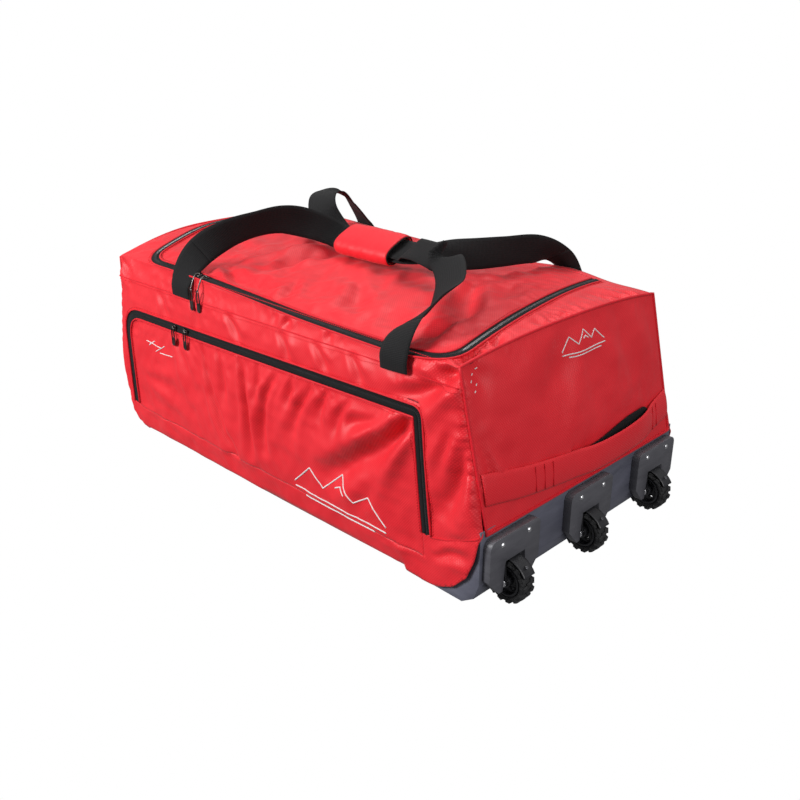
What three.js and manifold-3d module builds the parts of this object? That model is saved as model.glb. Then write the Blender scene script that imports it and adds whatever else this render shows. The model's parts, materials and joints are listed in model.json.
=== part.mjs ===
// Rolling duffel bag: a soft fabric box with a zipped lid, a zipped front pocket, two carry
// handles and three wheels in a moulded tray at one end.
// Millimetres. +X points to the wheel end, -Y to the pocket side, +Z up.
// The origin is under the middle of the bag, on the floor.

import * as THREE from 'three';
import { mergeVertices } from 'three/addons/utils/BufferGeometryUtils.js';
import Module from 'manifold-3d';

const wasm = await Module();
wasm.setup();

// Driving dimensions -------------------------------------------------------------------------

const GAP = 0.3;               // air left between pieces that touch
const CLOTH = 3;               // fabric with its lining
const TAPE = 2;                // zip tape with its teeth
const TAPE_WIDTH = 8;          // one half of a zip

const FAR_X = -449;            // outside of the far end
const WHEEL_END_X = 446;       // outside of the wheel end, at the top of the tray
const SIDE_Y = 238;            // outside of the front and of the back
const END_LEAN = -0.235;       // the wheel end leans in by this much for each mm of height
const TRAY_TOP = 127;
const PANEL_TOP = 317;         // top edge of the front and back panels

const CROWN = 362;             // height of the top at its middle
const CROWN_DROP = 36;         // how much lower the shoulders are
const SHOULDER_Y = 222;        // where the front run of the lid zip lies
const CROWN_POWER = 2.6;

// The lid's zip line runs from the back left, through these corners, to the back right. Each
// corner is x, y and how far along both sides its rounding reaches.
const LID = { backLeft: -436, backRight: 300, hingeY: 212 };
const LID_CORNERS = [[-436, -10, 90], [-345, -SHOULDER_Y, 46], [372, -SHOULDER_Y, 42]];
const POCKET = {
  left: -414, right: 350, rightTop: 331, bottom: 48, zipEndLeft: 52, zipEndRight: 86,
  topLeft: 236, topRight: 262, corner: 50, sharpCorner: 10, depth: 26,
};

const POCKET_BACK_Y = -SIDE_Y + CLOTH + POCKET.depth;

const SLIDER = { length: 13, width: 11, height: 4.5 };
const PULL = { width: 7, length: 32, thickness: 1.8 };
const LID_SLIDERS = { left: -186, right: -166 };
const POCKET_SLIDERS = { left: -247, right: -211 };
const LID_PULL = { y: -SIDE_Y - 1, z: PANEL_TOP + 3 };

const STRAP_WIDTH = 50;
const STRAP_THICKNESS = 3;
const SEAM_Y = SIDE_Y + 2.5;     // middle of a strap where it is sewn to the side
const GRIP = { x0: -72, x1: 58, y: 4, z: 386, halfWidth: 31, halfHeight: 13, wall: 4 };
const GRIP_TILT = THREE.MathUtils.degToRad(24);
const GRIP_STRAP_SHIFT = 3.4;    // each strap's distance from the middle of the grip
const BAND_LIFT = 3;             // middle of an end handle above its panel

const BOARD = { inset: 30, top: 8 };
const TRAY_FRONT_X = 345;
const TRAY_END_X = 444;
const TRAY_BOTTOM = 8;
const TRAY_WALL = 4;
// The slanting edge of the tray on the front and back, in X and Z.
const TRAY_CHEEK = [[TRAY_FRONT_X, 9], [392, 27], [423, 58], [436, 92], [442, TRAY_TOP]];

const WHEEL_NAMES = ['front', 'middle', 'rear'];
const WHEEL = { radius: 34, width: 26, x: 450, spacing: 179, lugs: 20, lugHeight: 3 };
const RIM = { radius: 23, wall: 3, webHalf: 3, spokeHoles: 6, holeRadius: 3.6, holeCircle: 15 };
const AXLE_RADIUS = 4;
const BUSH_RADIUS = 6;
const BUSH_CLEARANCE = 0.05;    // on each side of AXLE_RADIUS
const AXLE_HEAD = { radius: 6, height: 2.6 };
const FORK = { half: 17.2, sheet: 2, back: 426, front: 454, top: 72.5, eye: 7 };
const HOUSING = {
  width: 106, bottom: 27, top: 113, corner: 12, shoulder: 52,
  cutout: 42, cutoutTop: 73, flare: 3, foot: 8, out: 457, wellBack: 409, wellWall: 2.5,
};
const RIVET = { spread: 28, z: 101, radius: 4.2, height: 2.4 };
const BEYOND = 10;               // how far a cutting shape runs past what it cuts

// Materials ----------------------------------------------------------------------------------

function material(color, roughness, metalness = 0) {
  return new THREE.MeshStandardMaterial({ color, roughness, metalness });
}

const RED_CLOTH = material(0xd41f33, 0.7);
const LINING = material(0x8d1522, 0.85);
const WEBBING = material(0x1c1c1e, 0.85);
const ZIP_CLOTH = material(0x161618, 0.8);
const ZIP_METAL = material(0x4a4642, 0.35, 0.9);
const TRAY_PLASTIC = material(0x45444b, 0.5);
const BOARD_PLASTIC = material(0x2a2a2c, 0.7);
const TYRE_RUBBER = material(0x1b1b1d, 0.85);
const HUB_PLASTIC = material(0x2c2c30, 0.5);
const BRIGHT_STEEL = material(0xd8d8dc, 0.25, 1);
const DARK_STEEL = material(0x77777c, 0.4, 1);

// Helpers ------------------------------------------------------------------------------------

function solidOf(geometry) {
  const bare = geometry.clone();
  bare.deleteAttribute('normal');
  bare.deleteAttribute('uv');
  const merged = mergeVertices(bare, 1e-4);
  return new wasm.Manifold(new wasm.Mesh({
    numProp: 3,
    vertProperties: new Float32Array(merged.attributes.position.array),
    triVerts: new Uint32Array(merged.index.array),
  }));
}

function geometryOf(solid) {
  const mesh = solid.getMesh();
  const geometry = new THREE.BufferGeometry();
  geometry.setAttribute('position', new THREE.BufferAttribute(mesh.vertProperties, 3));
  geometry.setIndex(new THREE.BufferAttribute(mesh.triVerts, 1));
  return geometry;
}

function box(x0, x1, y0, y1, z0, z1) {
  const geometry = new THREE.BoxGeometry(x1 - x0, y1 - y0, z1 - z0);
  return geometry.translate((x0 + x1) / 2, (y0 + y1) / 2, (z0 + z1) / 2);
}

function extrude(shape, depth, curveSegments = 6) {
  return new THREE.ExtrudeGeometry(shape, { depth, bevelEnabled: false, curveSegments });
}

// A shape drawn in X and Y, standing on z0.
function platePlan(shape, z0, z1, curveSegments) {
  return extrude(shape, z1 - z0, curveSegments).translate(0, 0, z0);
}

// A shape drawn in X and Z, between y0 and y1.
function plateFront(shape, y0, y1, curveSegments) {
  return extrude(shape, y1 - y0, curveSegments).rotateX(Math.PI / 2).translate(0, y1, 0);
}

// A shape drawn in Y and Z, between x0 and x1.
function plateEnd(shape, x0, x1, curveSegments) {
  const toEnd = new THREE.Matrix4().makeBasis(
    new THREE.Vector3(0, 1, 0), new THREE.Vector3(0, 0, 1), new THREE.Vector3(1, 0, 0));
  return extrude(shape, x1 - x0, curveSegments).applyMatrix4(toEnd).translate(x0, 0, 0);
}

function shapeOf(points) {
  return new THREE.Shape(points.map(([a, b]) => new THREE.Vector2(a, b)));
}

function rectangle(a0, a1, b0, b1) {
  return shapeOf([[a0, b0], [a1, b0], [a1, b1], [a0, b1]]);
}

// Leans a plate with the wheel end: x grows by END_LEAN for each mm above the tray.
function lean(geometry) {
  const position = geometry.attributes.position;
  for (let i = 0; i < position.count; i += 1) {
    const rise = position.getZ(i) - TRAY_TOP;
    position.setX(i, position.getX(i) + END_LEAN * rise);
  }
  return geometry;
}

function wheelEndX(z) {
  return WHEEL_END_X + END_LEAN * (z - TRAY_TOP);
}

function crownHeight(y) {
  return CROWN - CROWN_DROP * Math.abs(y / SHOULDER_Y) ** CROWN_POWER;
}

function crownSlope(y) {
  return Math.atan((crownHeight(y + 0.5) - crownHeight(y - 0.5)));
}

// The whole domed top, running along X, with its outer face `below` under the crown.
function crownSlab(thickness, below = 0) {
  const steps = 16;
  const reach = SIDE_Y - CLOTH - GAP;
  const outer = [];
  const inner = [];
  for (let i = 0; i <= steps; i += 1) {
    const y = -reach + 2 * reach * (i / steps);
    outer.push([y, crownHeight(y) - below]);
    inner.unshift([y, crownHeight(y) - below - thickness]);
  }
  return solidOf(plateEnd(shapeOf([...outer, ...inner]), FAR_X, wheelEndX(CROWN)));
}

// Straight-sided closed rings joined in order, with a flat cap at each end.
function loft(rings) {
  const count = rings[0].length;
  const positions = rings.flat().flatMap((point) => point.toArray());
  const index = [];
  for (let ring = 0; ring + 1 < rings.length; ring += 1) {
    for (let i = 0; i < count; i += 1) {
      const next = (i + 1) % count;
      const a = ring * count + i;
      const b = ring * count + next;
      index.push(a, b, b + count, a, b + count, a + count);
    }
  }
  const last = (rings.length - 1) * count;
  for (let i = 1; i + 1 < count; i += 1) {
    index.push(0, i + 1, i, last, last + i, last + i + 1);
  }
  const geometry = new THREE.BufferGeometry();
  geometry.setAttribute('position', new THREE.Float32BufferAttribute(positions, 3));
  geometry.setIndex(signedVolume(positions, index) > 0 ? index : index.reverse());
  return geometry;
}

function signedVolume(positions, index) {
  const corner = (i) => new THREE.Vector3().fromArray(positions, index[i] * 3);
  let volume = 0;
  for (let i = 0; i < index.length; i += 3) {
    volume += corner(i).dot(corner(i + 1).cross(corner(i + 2))) / 6;
  }
  return volume;
}

// A flat strap along a smooth route. A station is [x, y, z, width direction x, y, z].
function strap(stations, width, thickness, steps, from = 0, to = 1) {
  const curve = new THREE.CatmullRomCurve3(
    stations.map(([x, y, z]) => new THREE.Vector3(x, y, z)), false, 'centripetal');
  const across = new THREE.CatmullRomCurve3(
    stations.map(([, , , x, y, z]) => new THREE.Vector3(x, y, z)), false, 'centripetal');
  const rings = [];
  for (let i = 0; i <= steps; i += 1) {
    const t = from + (to - from) * (i / steps);
    const centre = curve.getPoint(t);
    const along = curve.getTangent(t);
    const side = across.getPoint(t).projectOnPlane(along).normalize();
    const out = new THREE.Vector3().crossVectors(along, side).normalize();
    const corner = (a, b) => centre.clone()
      .addScaledVector(side, a * width / 2)
      .addScaledVector(out, b * thickness / 2);
    rings.push([corner(-1, -1), corner(1, -1), corner(1, 1), corner(-1, 1)]);
  }
  return loft(rings);
}

const bag = new THREE.Group();

function add(name, shape, finish) {
  const geometry = shape instanceof THREE.BufferGeometry ? shape : geometryOf(shape);
  const mesh = new THREE.Mesh(geometry, finish);
  mesh.name = name;
  bag.add(mesh);
}

// Bottom and ends ----------------------------------------------------------------------------

function bottomPanel() {
  const x1 = TRAY_FRONT_X - 2;
  const half = SIDE_Y - 12;
  add('bottom_panel', box(FAR_X, x1, -half, half, 0, CLOTH), RED_CLOTH);
  const boardHalf = SIDE_Y - BOARD.inset;
  add('stiffener_board',
    box(FAR_X + 16, x1 - 6, -boardHalf, boardHalf, CLOTH + GAP, BOARD.top), BOARD_PLASTIC);
}

// Outline of an end panel, from z0 up to the crown.
function endShape(half, z0, bottomRadius) {
  const shape = new THREE.Shape();
  shape.moveTo(-half + bottomRadius, z0);
  shape.lineTo(half - bottomRadius, z0);
  shape.absarc(half - bottomRadius, z0 + bottomRadius, bottomRadius, -Math.PI / 2, 0);
  const steps = 14;
  for (let i = 0; i <= steps; i += 1) {
    const y = half - 2 * half * (i / steps);
    shape.lineTo(y, crownHeight(y) - CLOTH - GAP);
  }
  shape.absarc(-half + bottomRadius, z0 + bottomRadius, bottomRadius, Math.PI, 1.5 * Math.PI);
  return shape;
}

function endPanels() {
  const half = SIDE_Y - CLOTH - GAP;
  const farShape = endShape(half, CLOTH + GAP, 22);
  add('far_end_panel', plateEnd(farShape, FAR_X, FAR_X + CLOTH), RED_CLOTH);
  const wheelShape = endShape(half, TRAY_TOP + GAP, 2);
  add('wheel_end_panel',
    lean(plateEnd(wheelShape, WHEEL_END_X - CLOTH, WHEEL_END_X)), RED_CLOTH);
}

// Front and back -----------------------------------------------------------------------------

function sideShape(bottomRadius) {
  const shape = new THREE.Shape();
  shape.moveTo(FAR_X + bottomRadius, CLOTH);
  TRAY_CHEEK.forEach(([x, z]) => shape.lineTo(x - 2, z + GAP));
  shape.lineTo(wheelEndX(TRAY_TOP) - CLOTH - 1, TRAY_TOP + 2);
  shape.lineTo(wheelEndX(PANEL_TOP) - CLOTH - 1, PANEL_TOP);
  shape.lineTo(FAR_X + 0.5, PANEL_TOP);
  shape.absarc(FAR_X + bottomRadius, CLOTH + bottomRadius, bottomRadius - 0.5,
    Math.PI, 1.5 * Math.PI);
  return shape;
}

// The pocket's zip line, moved outwards by `grow`, closed along `bottom`.
function pocketShape(grow, bottom) {
  const p = POCKET;
  const left = p.left - grow;
  const radius = p.corner + grow;
  const sharp = Math.max(p.sharpCorner + grow, 1);
  const slope = (p.topRight - p.topLeft) / (p.rightTop - p.left);
  const topAt = (x) => p.topLeft + grow + slope * (x - p.left);
  const rightAt = (z) => {
    const share = (z - p.zipEndRight) / (p.topRight - p.zipEndRight);
    return p.right + grow + (p.rightTop - p.right) * share;
  };
  const shape = new THREE.Shape();
  shape.moveTo(left, bottom);
  shape.lineTo(rightAt(bottom), bottom);
  const cornerZ = topAt(p.rightTop) - sharp;
  shape.lineTo(rightAt(cornerZ), cornerZ);
  shape.quadraticCurveTo(rightAt(cornerZ + sharp), cornerZ + sharp,
    rightAt(cornerZ) - sharp, topAt(rightAt(cornerZ) - sharp));
  shape.lineTo(left + radius, topAt(left + radius));
  shape.quadraticCurveTo(left, topAt(left), left, topAt(left) - radius);
  return shape;
}

function frontAndBack() {
  const y0 = -SIDE_Y;
  const y1 = y0 + CLOTH;
  const side = sideShape(50);
  const hole = pocketShape(TAPE_WIDTH + GAP, POCKET.bottom - GAP);
  const cutter = solidOf(plateFront(hole, y0 - BEYOND, y1 + BEYOND));
  add('front_panel', solidOf(plateFront(side, y0, y1)).subtract(cutter), RED_CLOTH);
  add('back_panel', plateFront(side, -y1, -y0), RED_CLOTH);

  const seam = 12;
  const edge = TAPE_WIDTH + seam;
  const low = POCKET.bottom - seam;
  const outside = solidOf(plateFront(pocketShape(edge, low), y1 + GAP, POCKET_BACK_Y));
  const room = pocketShape(edge - CLOTH, low + CLOTH);
  const inside = solidOf(plateFront(room, y1 - BEYOND, POCKET_BACK_Y - CLOTH));
  add('pocket_lining', outside.subtract(inside), LINING);
}

function pocketFlap() {
  const y0 = -SIDE_Y;
  const bottom = POCKET.bottom + GAP;
  add('pocket_flap', plateFront(pocketShape(-TAPE_WIDTH - GAP, bottom), y0, y0 + CLOTH),
    RED_CLOTH);
  const tape = (outer, inner) => {
    const whole = solidOf(plateFront(pocketShape(outer, POCKET.zipEndLeft), y0, y0 + TAPE));
    const middle = pocketShape(inner, POCKET.zipEndLeft - BEYOND);
    const cut = solidOf(plateFront(middle, y0 - BEYOND, y0 + BEYOND));
    const belowEnd = box(0, WHEEL_END_X, y0 - BEYOND, y0 + BEYOND, 0, POCKET.zipEndRight);
    return whole.subtract(cut).subtract(solidOf(belowEnd));
  };
  add('pocket_zip_flap_tape', tape(-GAP / 2, -TAPE_WIDTH), ZIP_CLOTH);
  add('pocket_zip_body_tape', tape(TAPE_WIDTH, GAP / 2), ZIP_CLOTH);
}

// Top ----------------------------------------------------------------------------------------

// A corner of a route, moved outwards by `grow`; outwards is to the right of the way along it.
function movedCorner([x0, y0], [x, y], [x1, y1], grow) {
  const first = Math.hypot(x - x0, y - y0);
  const second = Math.hypot(x1 - x, y1 - y);
  const a = [(y - y0) / first, (x0 - x) / first];
  const b = [(y1 - y) / second, (x - x1) / second];
  const share = grow / (1 + a[0] * b[0] + a[1] * b[1]);
  return [x + (a[0] + b[0]) * share, y + (a[1] + b[1]) * share];
}

// The point `reach` from one place towards another.
function towards([x, y], [x1, y1], reach) {
  const share = reach / Math.hypot(x1 - x, y1 - y);
  return [x + (x1 - x) * share, y + (y1 - y) * share];
}

// The lid's zip line, moved outwards by `grow`, closed along y = back.
function lidShape(grow, back) {
  const route = [[LID.backLeft, LID.hingeY], ...LID_CORNERS, [LID.backRight, LID.hingeY]];
  const moved = LID_CORNERS.map((corner, i) => movedCorner(route[i], corner, route[i + 2], grow));
  const [x1, y1] = LID_CORNERS.at(-1);
  const lean = (LID.backRight - x1) / (LID.hingeY - y1);
  const right = x1 + lean * (back - y1) + grow * Math.hypot(1, lean);
  const path = [[LID.backLeft - grow, back], ...moved, [right, back]];
  const shape = new THREE.Shape();
  shape.moveTo(...path[0]);
  moved.forEach((corner, i) => {
    const reach = LID_CORNERS[i][2] + grow;
    shape.lineTo(...towards(corner, path[i], reach));
    shape.quadraticCurveTo(...corner, ...towards(corner, path[i + 2], reach));
  });
  shape.lineTo(...path.at(-1));
  return shape;
}

function topPrism(shape) {
  return solidOf(platePlan(shape, TRAY_TOP, CROWN + BEYOND));
}

function top() {
  const cloth = crownSlab(CLOTH);
  const tape = crownSlab(TAPE, 0.5);
  const back = LID.hingeY;
  add('lid_panel', cloth.intersect(topPrism(lidShape(-TAPE_WIDTH - GAP, back))), RED_CLOTH);
  const zipEnd = back - 12;
  const tapeRing = (outer, inner) => tape
    .intersect(topPrism(lidShape(outer, zipEnd)))
    .subtract(topPrism(lidShape(inner, back)));
  add('lid_zip_lid_tape', tapeRing(-GAP / 2, -TAPE_WIDTH), ZIP_CLOTH);
  add('lid_zip_body_tape', tapeRing(TAPE_WIDTH, GAP / 2), ZIP_CLOTH);
  const frame = rectangle(FAR_X + 0.5, wheelEndX(CROWN) - CLOTH, -SHOULDER_Y + 6,
    SIDE_Y - CLOTH - 1);
  const opening = topPrism(lidShape(TAPE_WIDTH + GAP, back + GAP));
  add('top_frame', cloth.intersect(topPrism(frame)).subtract(opening), RED_CLOTH);
}

// Zip sliders and their pulls ----------------------------------------------------------------

function pocketZipHeight(x) {
  const share = (x - POCKET.left) / (POCKET.rightTop - POCKET.left);
  return POCKET.topLeft + (POCKET.topRight - POCKET.topLeft) * share;
}

// A slider seen from above: its wide nose points along `side`, left or right.
function slider(side) {
  const nose = (side === 'left' ? -1 : 1) * SLIDER.length / 2;
  const wide = SLIDER.width / 2;
  const plan = [
    [-nose, -wide * 0.6], [nose * 0.4, -wide], [nose, -wide * 0.7],
    [nose, wide * 0.7], [nose * 0.4, wide], [-nose, wide * 0.6],
  ];
  return extrude(shapeOf(plan), SLIDER.height);
}

function pullShape() {
  const shape = new THREE.Shape();
  const half = PULL.width / 2;
  shape.moveTo(-half * 0.55, 0);
  shape.lineTo(-half, -PULL.length * 0.75);
  shape.absarc(0, -PULL.length + half, half, Math.PI, 2 * Math.PI);
  shape.lineTo(half * 0.55, 0);
  return shape;
}

function addPull(name, x, y, z) {
  const pull = plateFront(pullShape(), -PULL.thickness, 0);
  add(name, pull.translate(x, y, z), ZIP_METAL);
}

function sliders() {
  const lidY = -SHOULDER_Y;
  const lidZ = crownHeight(lidY) + GAP;
  for (const [side, x] of Object.entries(LID_SLIDERS)) {
    const body = slider(side).rotateX(crownSlope(lidY));
    add(`lid_slider_${side}`, body.translate(x, lidY, lidZ), ZIP_METAL);
    addPull(`lid_pull_${side}`, x, LID_PULL.y, LID_PULL.z);
  }
  const pocketY = -SIDE_Y - GAP;
  for (const [side, x] of Object.entries(POCKET_SLIDERS)) {
    const z = pocketZipHeight(x);
    const body = slider(side).rotateX(Math.PI / 2);
    add(`pocket_slider_${side}`, body.translate(x, pocketY, z), ZIP_METAL);
    addPull(`pocket_pull_${side}`, x, pocketY - SLIDER.height - GAP, z + 2);
  }
}

// Carry handles ------------------------------------------------------------------------------

// Each handle is one webbing strap sewn into a side seam at both ends. It bends at the seam and
// again over the shoulder, so it is divided there into three solids. The grip wrap holds both
// straps together in the middle. A station is [x, y, z, width direction x, y, z].

// A station inside the grip: `level` is -1 for the lower strap and 1 for the upper one.
function inGrip(x, level) {
  const shift = level * GRIP_STRAP_SHIFT;
  return [x, GRIP.y - shift * Math.sin(GRIP_TILT), GRIP.z + shift * Math.cos(GRIP_TILT),
    0, -Math.cos(GRIP_TILT), -Math.sin(GRIP_TILT)];
}

function alongGrip(level) {
  return [-88, -72, -66, -8, 52, 58, 74].map((x) => inGrip(x, level));
}

const FRONT_STRAP = [
  [-216, -SEAM_Y, 303, 1, 0, 0],
  [-216, -SEAM_Y, 322, 1, 0, 0],
  [-212, -231, 346, 0.9, 0.1, -0.35],
  [-200, -205, 378, 0.55, 0.25, -0.75],
  [-176, -167, 404, 0.2, 0.1, -1],
  [-150, -127, 418, 0, 0, -1],
  [-128, -86, 423, 0, -0.2, -1],
  [-110, -34, 408, 0, -0.8, -0.6],
  ...alongGrip(1),
  [100, -12, 400, 0.1, -0.9, -0.4],
  [150, -26, 406, 0.7, -0.5, -0.4],
  [210, -48, 410, 0.85, 0.5, 0.1],
  [262, -104, 392, 0.93, 0, 0.35],
  [287, -165, 380, 0.7, -0.2, 0.7],
  [288, -205, 368, 0.85, -0.2, 0.4],
  [286, -231, 346, 1, 0, 0.15],
  [288, -SEAM_Y, 327, 1, 0, 0],
  [289, -SEAM_Y, 309, 1, 0, 0],
];
const REAR_STRAP = [
  [-268, SEAM_Y, 291, -1, 0, 0],
  [-268, SEAM_Y, 318, -1, 0, 0],
  [-266, 231, 346, -1, 0, 0],
  [-258, 205, 374, -0.95, -0.3, 0],
  [-240, 160, 412, -0.9, -0.4, 0],
  [-212, 95, 436, -0.8, -0.6, 0],
  [-176, 42, 438, -0.6, -0.7, -0.2],
  [-144, 16, 420, -0.3, -0.8, -0.4],
  [-112, 18, 390, 0, -0.9, -0.4],
  ...alongGrip(-1),
  [104, 24, 386, 0, -0.9, -0.4],
  [150, 66, 386, 0, -0.4, -0.9],
  [184, 112, 388, -0.1, -0.1, -1],
  [208, 160, 388, -0.3, -0.3, -0.9],
  [224, 205, 374, -0.9, -0.2, -0.4],
  [231, 231, 346, -1, 0, -0.1],
  [232, SEAM_Y, 320, -1, 0, 0],
  [232, SEAM_Y, 297, -1, 0, 0],
];
const SHOULDER_STATION = 3;      // stations from either end to the shoulder
const STRAP_STEPS = 3;           // straight pieces between two stations
const STRAP_CUT = 0.006;         // trimmed from each solid there, as a share of a station's step

function carryStraps() {
  Object.entries({ front: FRONT_STRAP, rear: REAR_STRAP }).forEach(([side, stations]) => {
    const end = stations.length - 1;
    const cuts = [0, SHOULDER_STATION, end - SHOULDER_STATION, end];
    const steps = cuts.slice(1).map((cut, i) => (cut - cuts[i]) * STRAP_STEPS);
    ['left', 'middle', 'right'].forEach((name, i) => {
      const from = (cuts[i] + STRAP_CUT) / end;
      const to = (cuts[i + 1] - STRAP_CUT) / end;
      add(`${side}_strap_${name}`,
        strap(stations, STRAP_WIDTH, STRAP_THICKNESS, steps[i], from, to), WEBBING);
    });
  });
}

function gripWrap() {
  const sleeve = (shrink, x0, x1) => {
    const radius = GRIP.halfHeight - shrink;
    const straight = GRIP.halfWidth - GRIP.halfHeight;
    const outline = new THREE.Shape();
    outline.absarc(straight, 0, radius, -Math.PI / 2, Math.PI / 2);
    outline.absarc(-straight, 0, radius, Math.PI / 2, 1.5 * Math.PI);
    return solidOf(plateEnd(outline, x0, x1, 8).rotateX(GRIP_TILT)
      .translate(0, GRIP.y, GRIP.z));
  };
  const whole = sleeve(0, GRIP.x0, GRIP.x1);
  const inside = sleeve(GRIP.wall, GRIP.x0 - BEYOND, GRIP.x1 + BEYOND);
  add('grip_wrap', whole.subtract(inside), RED_CLOTH);
}

// End handles --------------------------------------------------------------------------------

// The band across the wheel end: sewn flat at both sides, and loose in the middle as a grab loop.
function wheelEndBand() {
  const route = [
    [-222, 178, 0], [-150, 168, 0], [-60, 156, 0], [-30, 152, 1], [-8, 151, 14],
    [20, 151, 20], [70, 151, 22], [120, 153, 20], [148, 155, 14], [170, 157, 1],
    [195, 161, 0], [222, 167, 0],
  ];
  const stations = route.map(([y, z, bulge]) => [
    wheelEndX(z) + BAND_LIFT + bulge, y, z, -END_LEAN, 0, -1]);
  add('wheel_end_grab_handle', strap(stations, 40, 2.4, 34), RED_CLOTH);
}

function farEndHandle() {
  const x = FAR_X - BAND_LIFT;
  const z = 206;
  const route = [[-125, 0], [-96, 0], [-70, -12], [-30, -26], [30, -26], [70, -12], [96, 0],
    [125, 0]];
  const stations = route.map(([y, bulge]) => [x + bulge, y, z, 0, 0, 1]);
  add('far_end_tow_handle', strap(stations, 38, STRAP_THICKNESS, 28), WEBBING);
}

// Wheel tray ---------------------------------------------------------------------------------

function wheelY(i) {
  return (i - 1) * WHEEL.spacing;
}

function wheelTray() {
  const half = SIDE_Y - TRAY_WALL;
  const inside = TRAY_END_X - TRAY_WALL;
  const endWall = solidOf(plateEnd(rectangle(-half, half, 44, TRAY_TOP), inside, TRAY_END_X));
  const outerCurve = [[TRAY_END_X, 46], [436, 22], [415, TRAY_BOTTOM], [TRAY_FRONT_X, TRAY_BOTTOM]];
  const innerCurve = [[TRAY_FRONT_X, TRAY_BOTTOM + TRAY_WALL], [413, TRAY_BOTTOM + TRAY_WALL],
    [432, 25], [inside, 47]];
  const floor = solidOf(plateFront(shapeOf([...outerCurve, ...innerCurve]), -half, half));
  const cheek = shapeOf([...TRAY_CHEEK, [TRAY_END_X, TRAY_TOP], ...outerCurve.slice(0, 3)]);
  let tray = endWall.add(floor)
    .add(solidOf(plateFront(cheek, -SIDE_Y, -half)))
    .add(solidOf(plateFront(cheek, half, SIDE_Y)));
  const wide = HOUSING.cutout / 2 + 3;
  WHEEL_NAMES.forEach((_, i) => {
    const y = wheelY(i);
    const hole = box(HOUSING.wellBack - 4, TRAY_END_X + BEYOND, y - wide, y + wide,
      0, HOUSING.cutoutTop + 4);
    tray = tray.subtract(solidOf(hole));
  });
  add('wheel_tray', tray, TRAY_PLASTIC);
}

// A raised plate with the wheel's cut-out, and the well behind it.
function housing(i) {
  const h = HOUSING;
  const wide = h.width / 2;
  const gapHalf = h.cutout / 2;
  const lowHalf = gapHalf + h.flare;
  const outline = new THREE.Shape();
  outline.moveTo(-lowHalf - h.foot, h.bottom);
  outline.lineTo(-lowHalf, h.bottom);
  outline.lineTo(-gapHalf, h.cutoutTop);
  outline.lineTo(gapHalf, h.cutoutTop);
  outline.lineTo(lowHalf, h.bottom);
  outline.lineTo(lowHalf + h.foot, h.bottom);
  outline.lineTo(wide, h.shoulder);
  outline.lineTo(wide, h.top - h.corner);
  outline.absarc(wide - h.corner, h.top - h.corner, h.corner, 0, Math.PI / 2);
  outline.absarc(-wide + h.corner, h.top - h.corner, h.corner, Math.PI / 2, Math.PI);
  outline.lineTo(-wide, h.shoulder);
  const plate = solidOf(plateEnd(outline, TRAY_END_X + GAP, h.out));
  const wallY = gapHalf + h.wellWall;
  const well = box(h.wellBack, TRAY_END_X + 1, -wallY, wallY, h.bottom, h.cutoutTop + 3);
  const room = box(h.wellBack + h.wellWall, TRAY_END_X + 5, -gapHalf, gapHalf, 0, h.cutoutTop);
  return plate.add(solidOf(well)).subtract(solidOf(room)).translate([0, wheelY(i), 0]);
}

function rivet(y) {
  const profile = [[0, 0], [RIVET.radius, 0], [RIVET.radius - 0.2, 0.6],
    [RIVET.radius / 2, RIVET.height - 0.5], [0, RIVET.height]]
    .map(([r, h]) => new THREE.Vector2(r, h));
  return new THREE.LatheGeometry(profile, 12).rotateZ(-Math.PI / 2)
    .translate(HOUSING.out + 0.05, y, RIVET.z);
}

function wheelHousings() {
  WHEEL_NAMES.forEach((name, i) => {
    add(`wheel_housing_${name}`, housing(i), TRAY_PLASTIC);
    Object.entries({ left: -RIVET.spread, right: RIVET.spread }).forEach(([side, offset]) => {
      add(`rivet_${name}_${side}`, rivet(wheelY(i) + offset), BRIGHT_STEEL);
    });
  });
}

// A steel fork inside the well: a top plate bent down on both sides of the wheel.
function fork(i) {
  const f = FORK;
  const neck = f.top - 6.5;
  const cheek = new THREE.Shape();
  cheek.moveTo(f.back, f.top);
  cheek.lineTo(f.back, neck);
  cheek.lineTo(WHEEL.x - f.eye, WHEEL.radius);
  cheek.absarc(WHEEL.x, WHEEL.radius, f.eye, Math.PI, 2 * Math.PI);
  cheek.lineTo(f.front, neck);
  cheek.lineTo(f.front, f.top);
  const block = solidOf(plateFront(cheek, -f.half, f.half));
  const inner = f.half - f.sheet;
  const room = box(f.back - BEYOND, f.front + BEYOND, -inner, inner, 0, f.top - f.sheet - 0.5);
  const bore = new THREE.CylinderGeometry(AXLE_RADIUS, AXLE_RADIUS, 2 * f.half + BEYOND, 20)
    .translate(WHEEL.x, 0, WHEEL.radius);
  return block.subtract(solidOf(room)).subtract(solidOf(bore)).translate([0, wheelY(i), 0]);
}

// Wheels -------------------------------------------------------------------------------------

function ringShape(outer, inner) {
  const shape = shapeOf(outer);
  const hole = new THREE.Path();
  hole.absarc(0, 0, inner, 0, 2 * Math.PI, true);
  shape.holes.push(hole);
  return shape;
}

function circlePoints(radius, count) {
  return Array.from({ length: count }, (_, i) => {
    const a = (i / count) * 2 * Math.PI;
    return [radius * Math.cos(a), radius * Math.sin(a)];
  });
}

function atWheel(geometry, i) {
  return geometry.translate(WHEEL.x, wheelY(i), WHEEL.radius);
}

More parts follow.
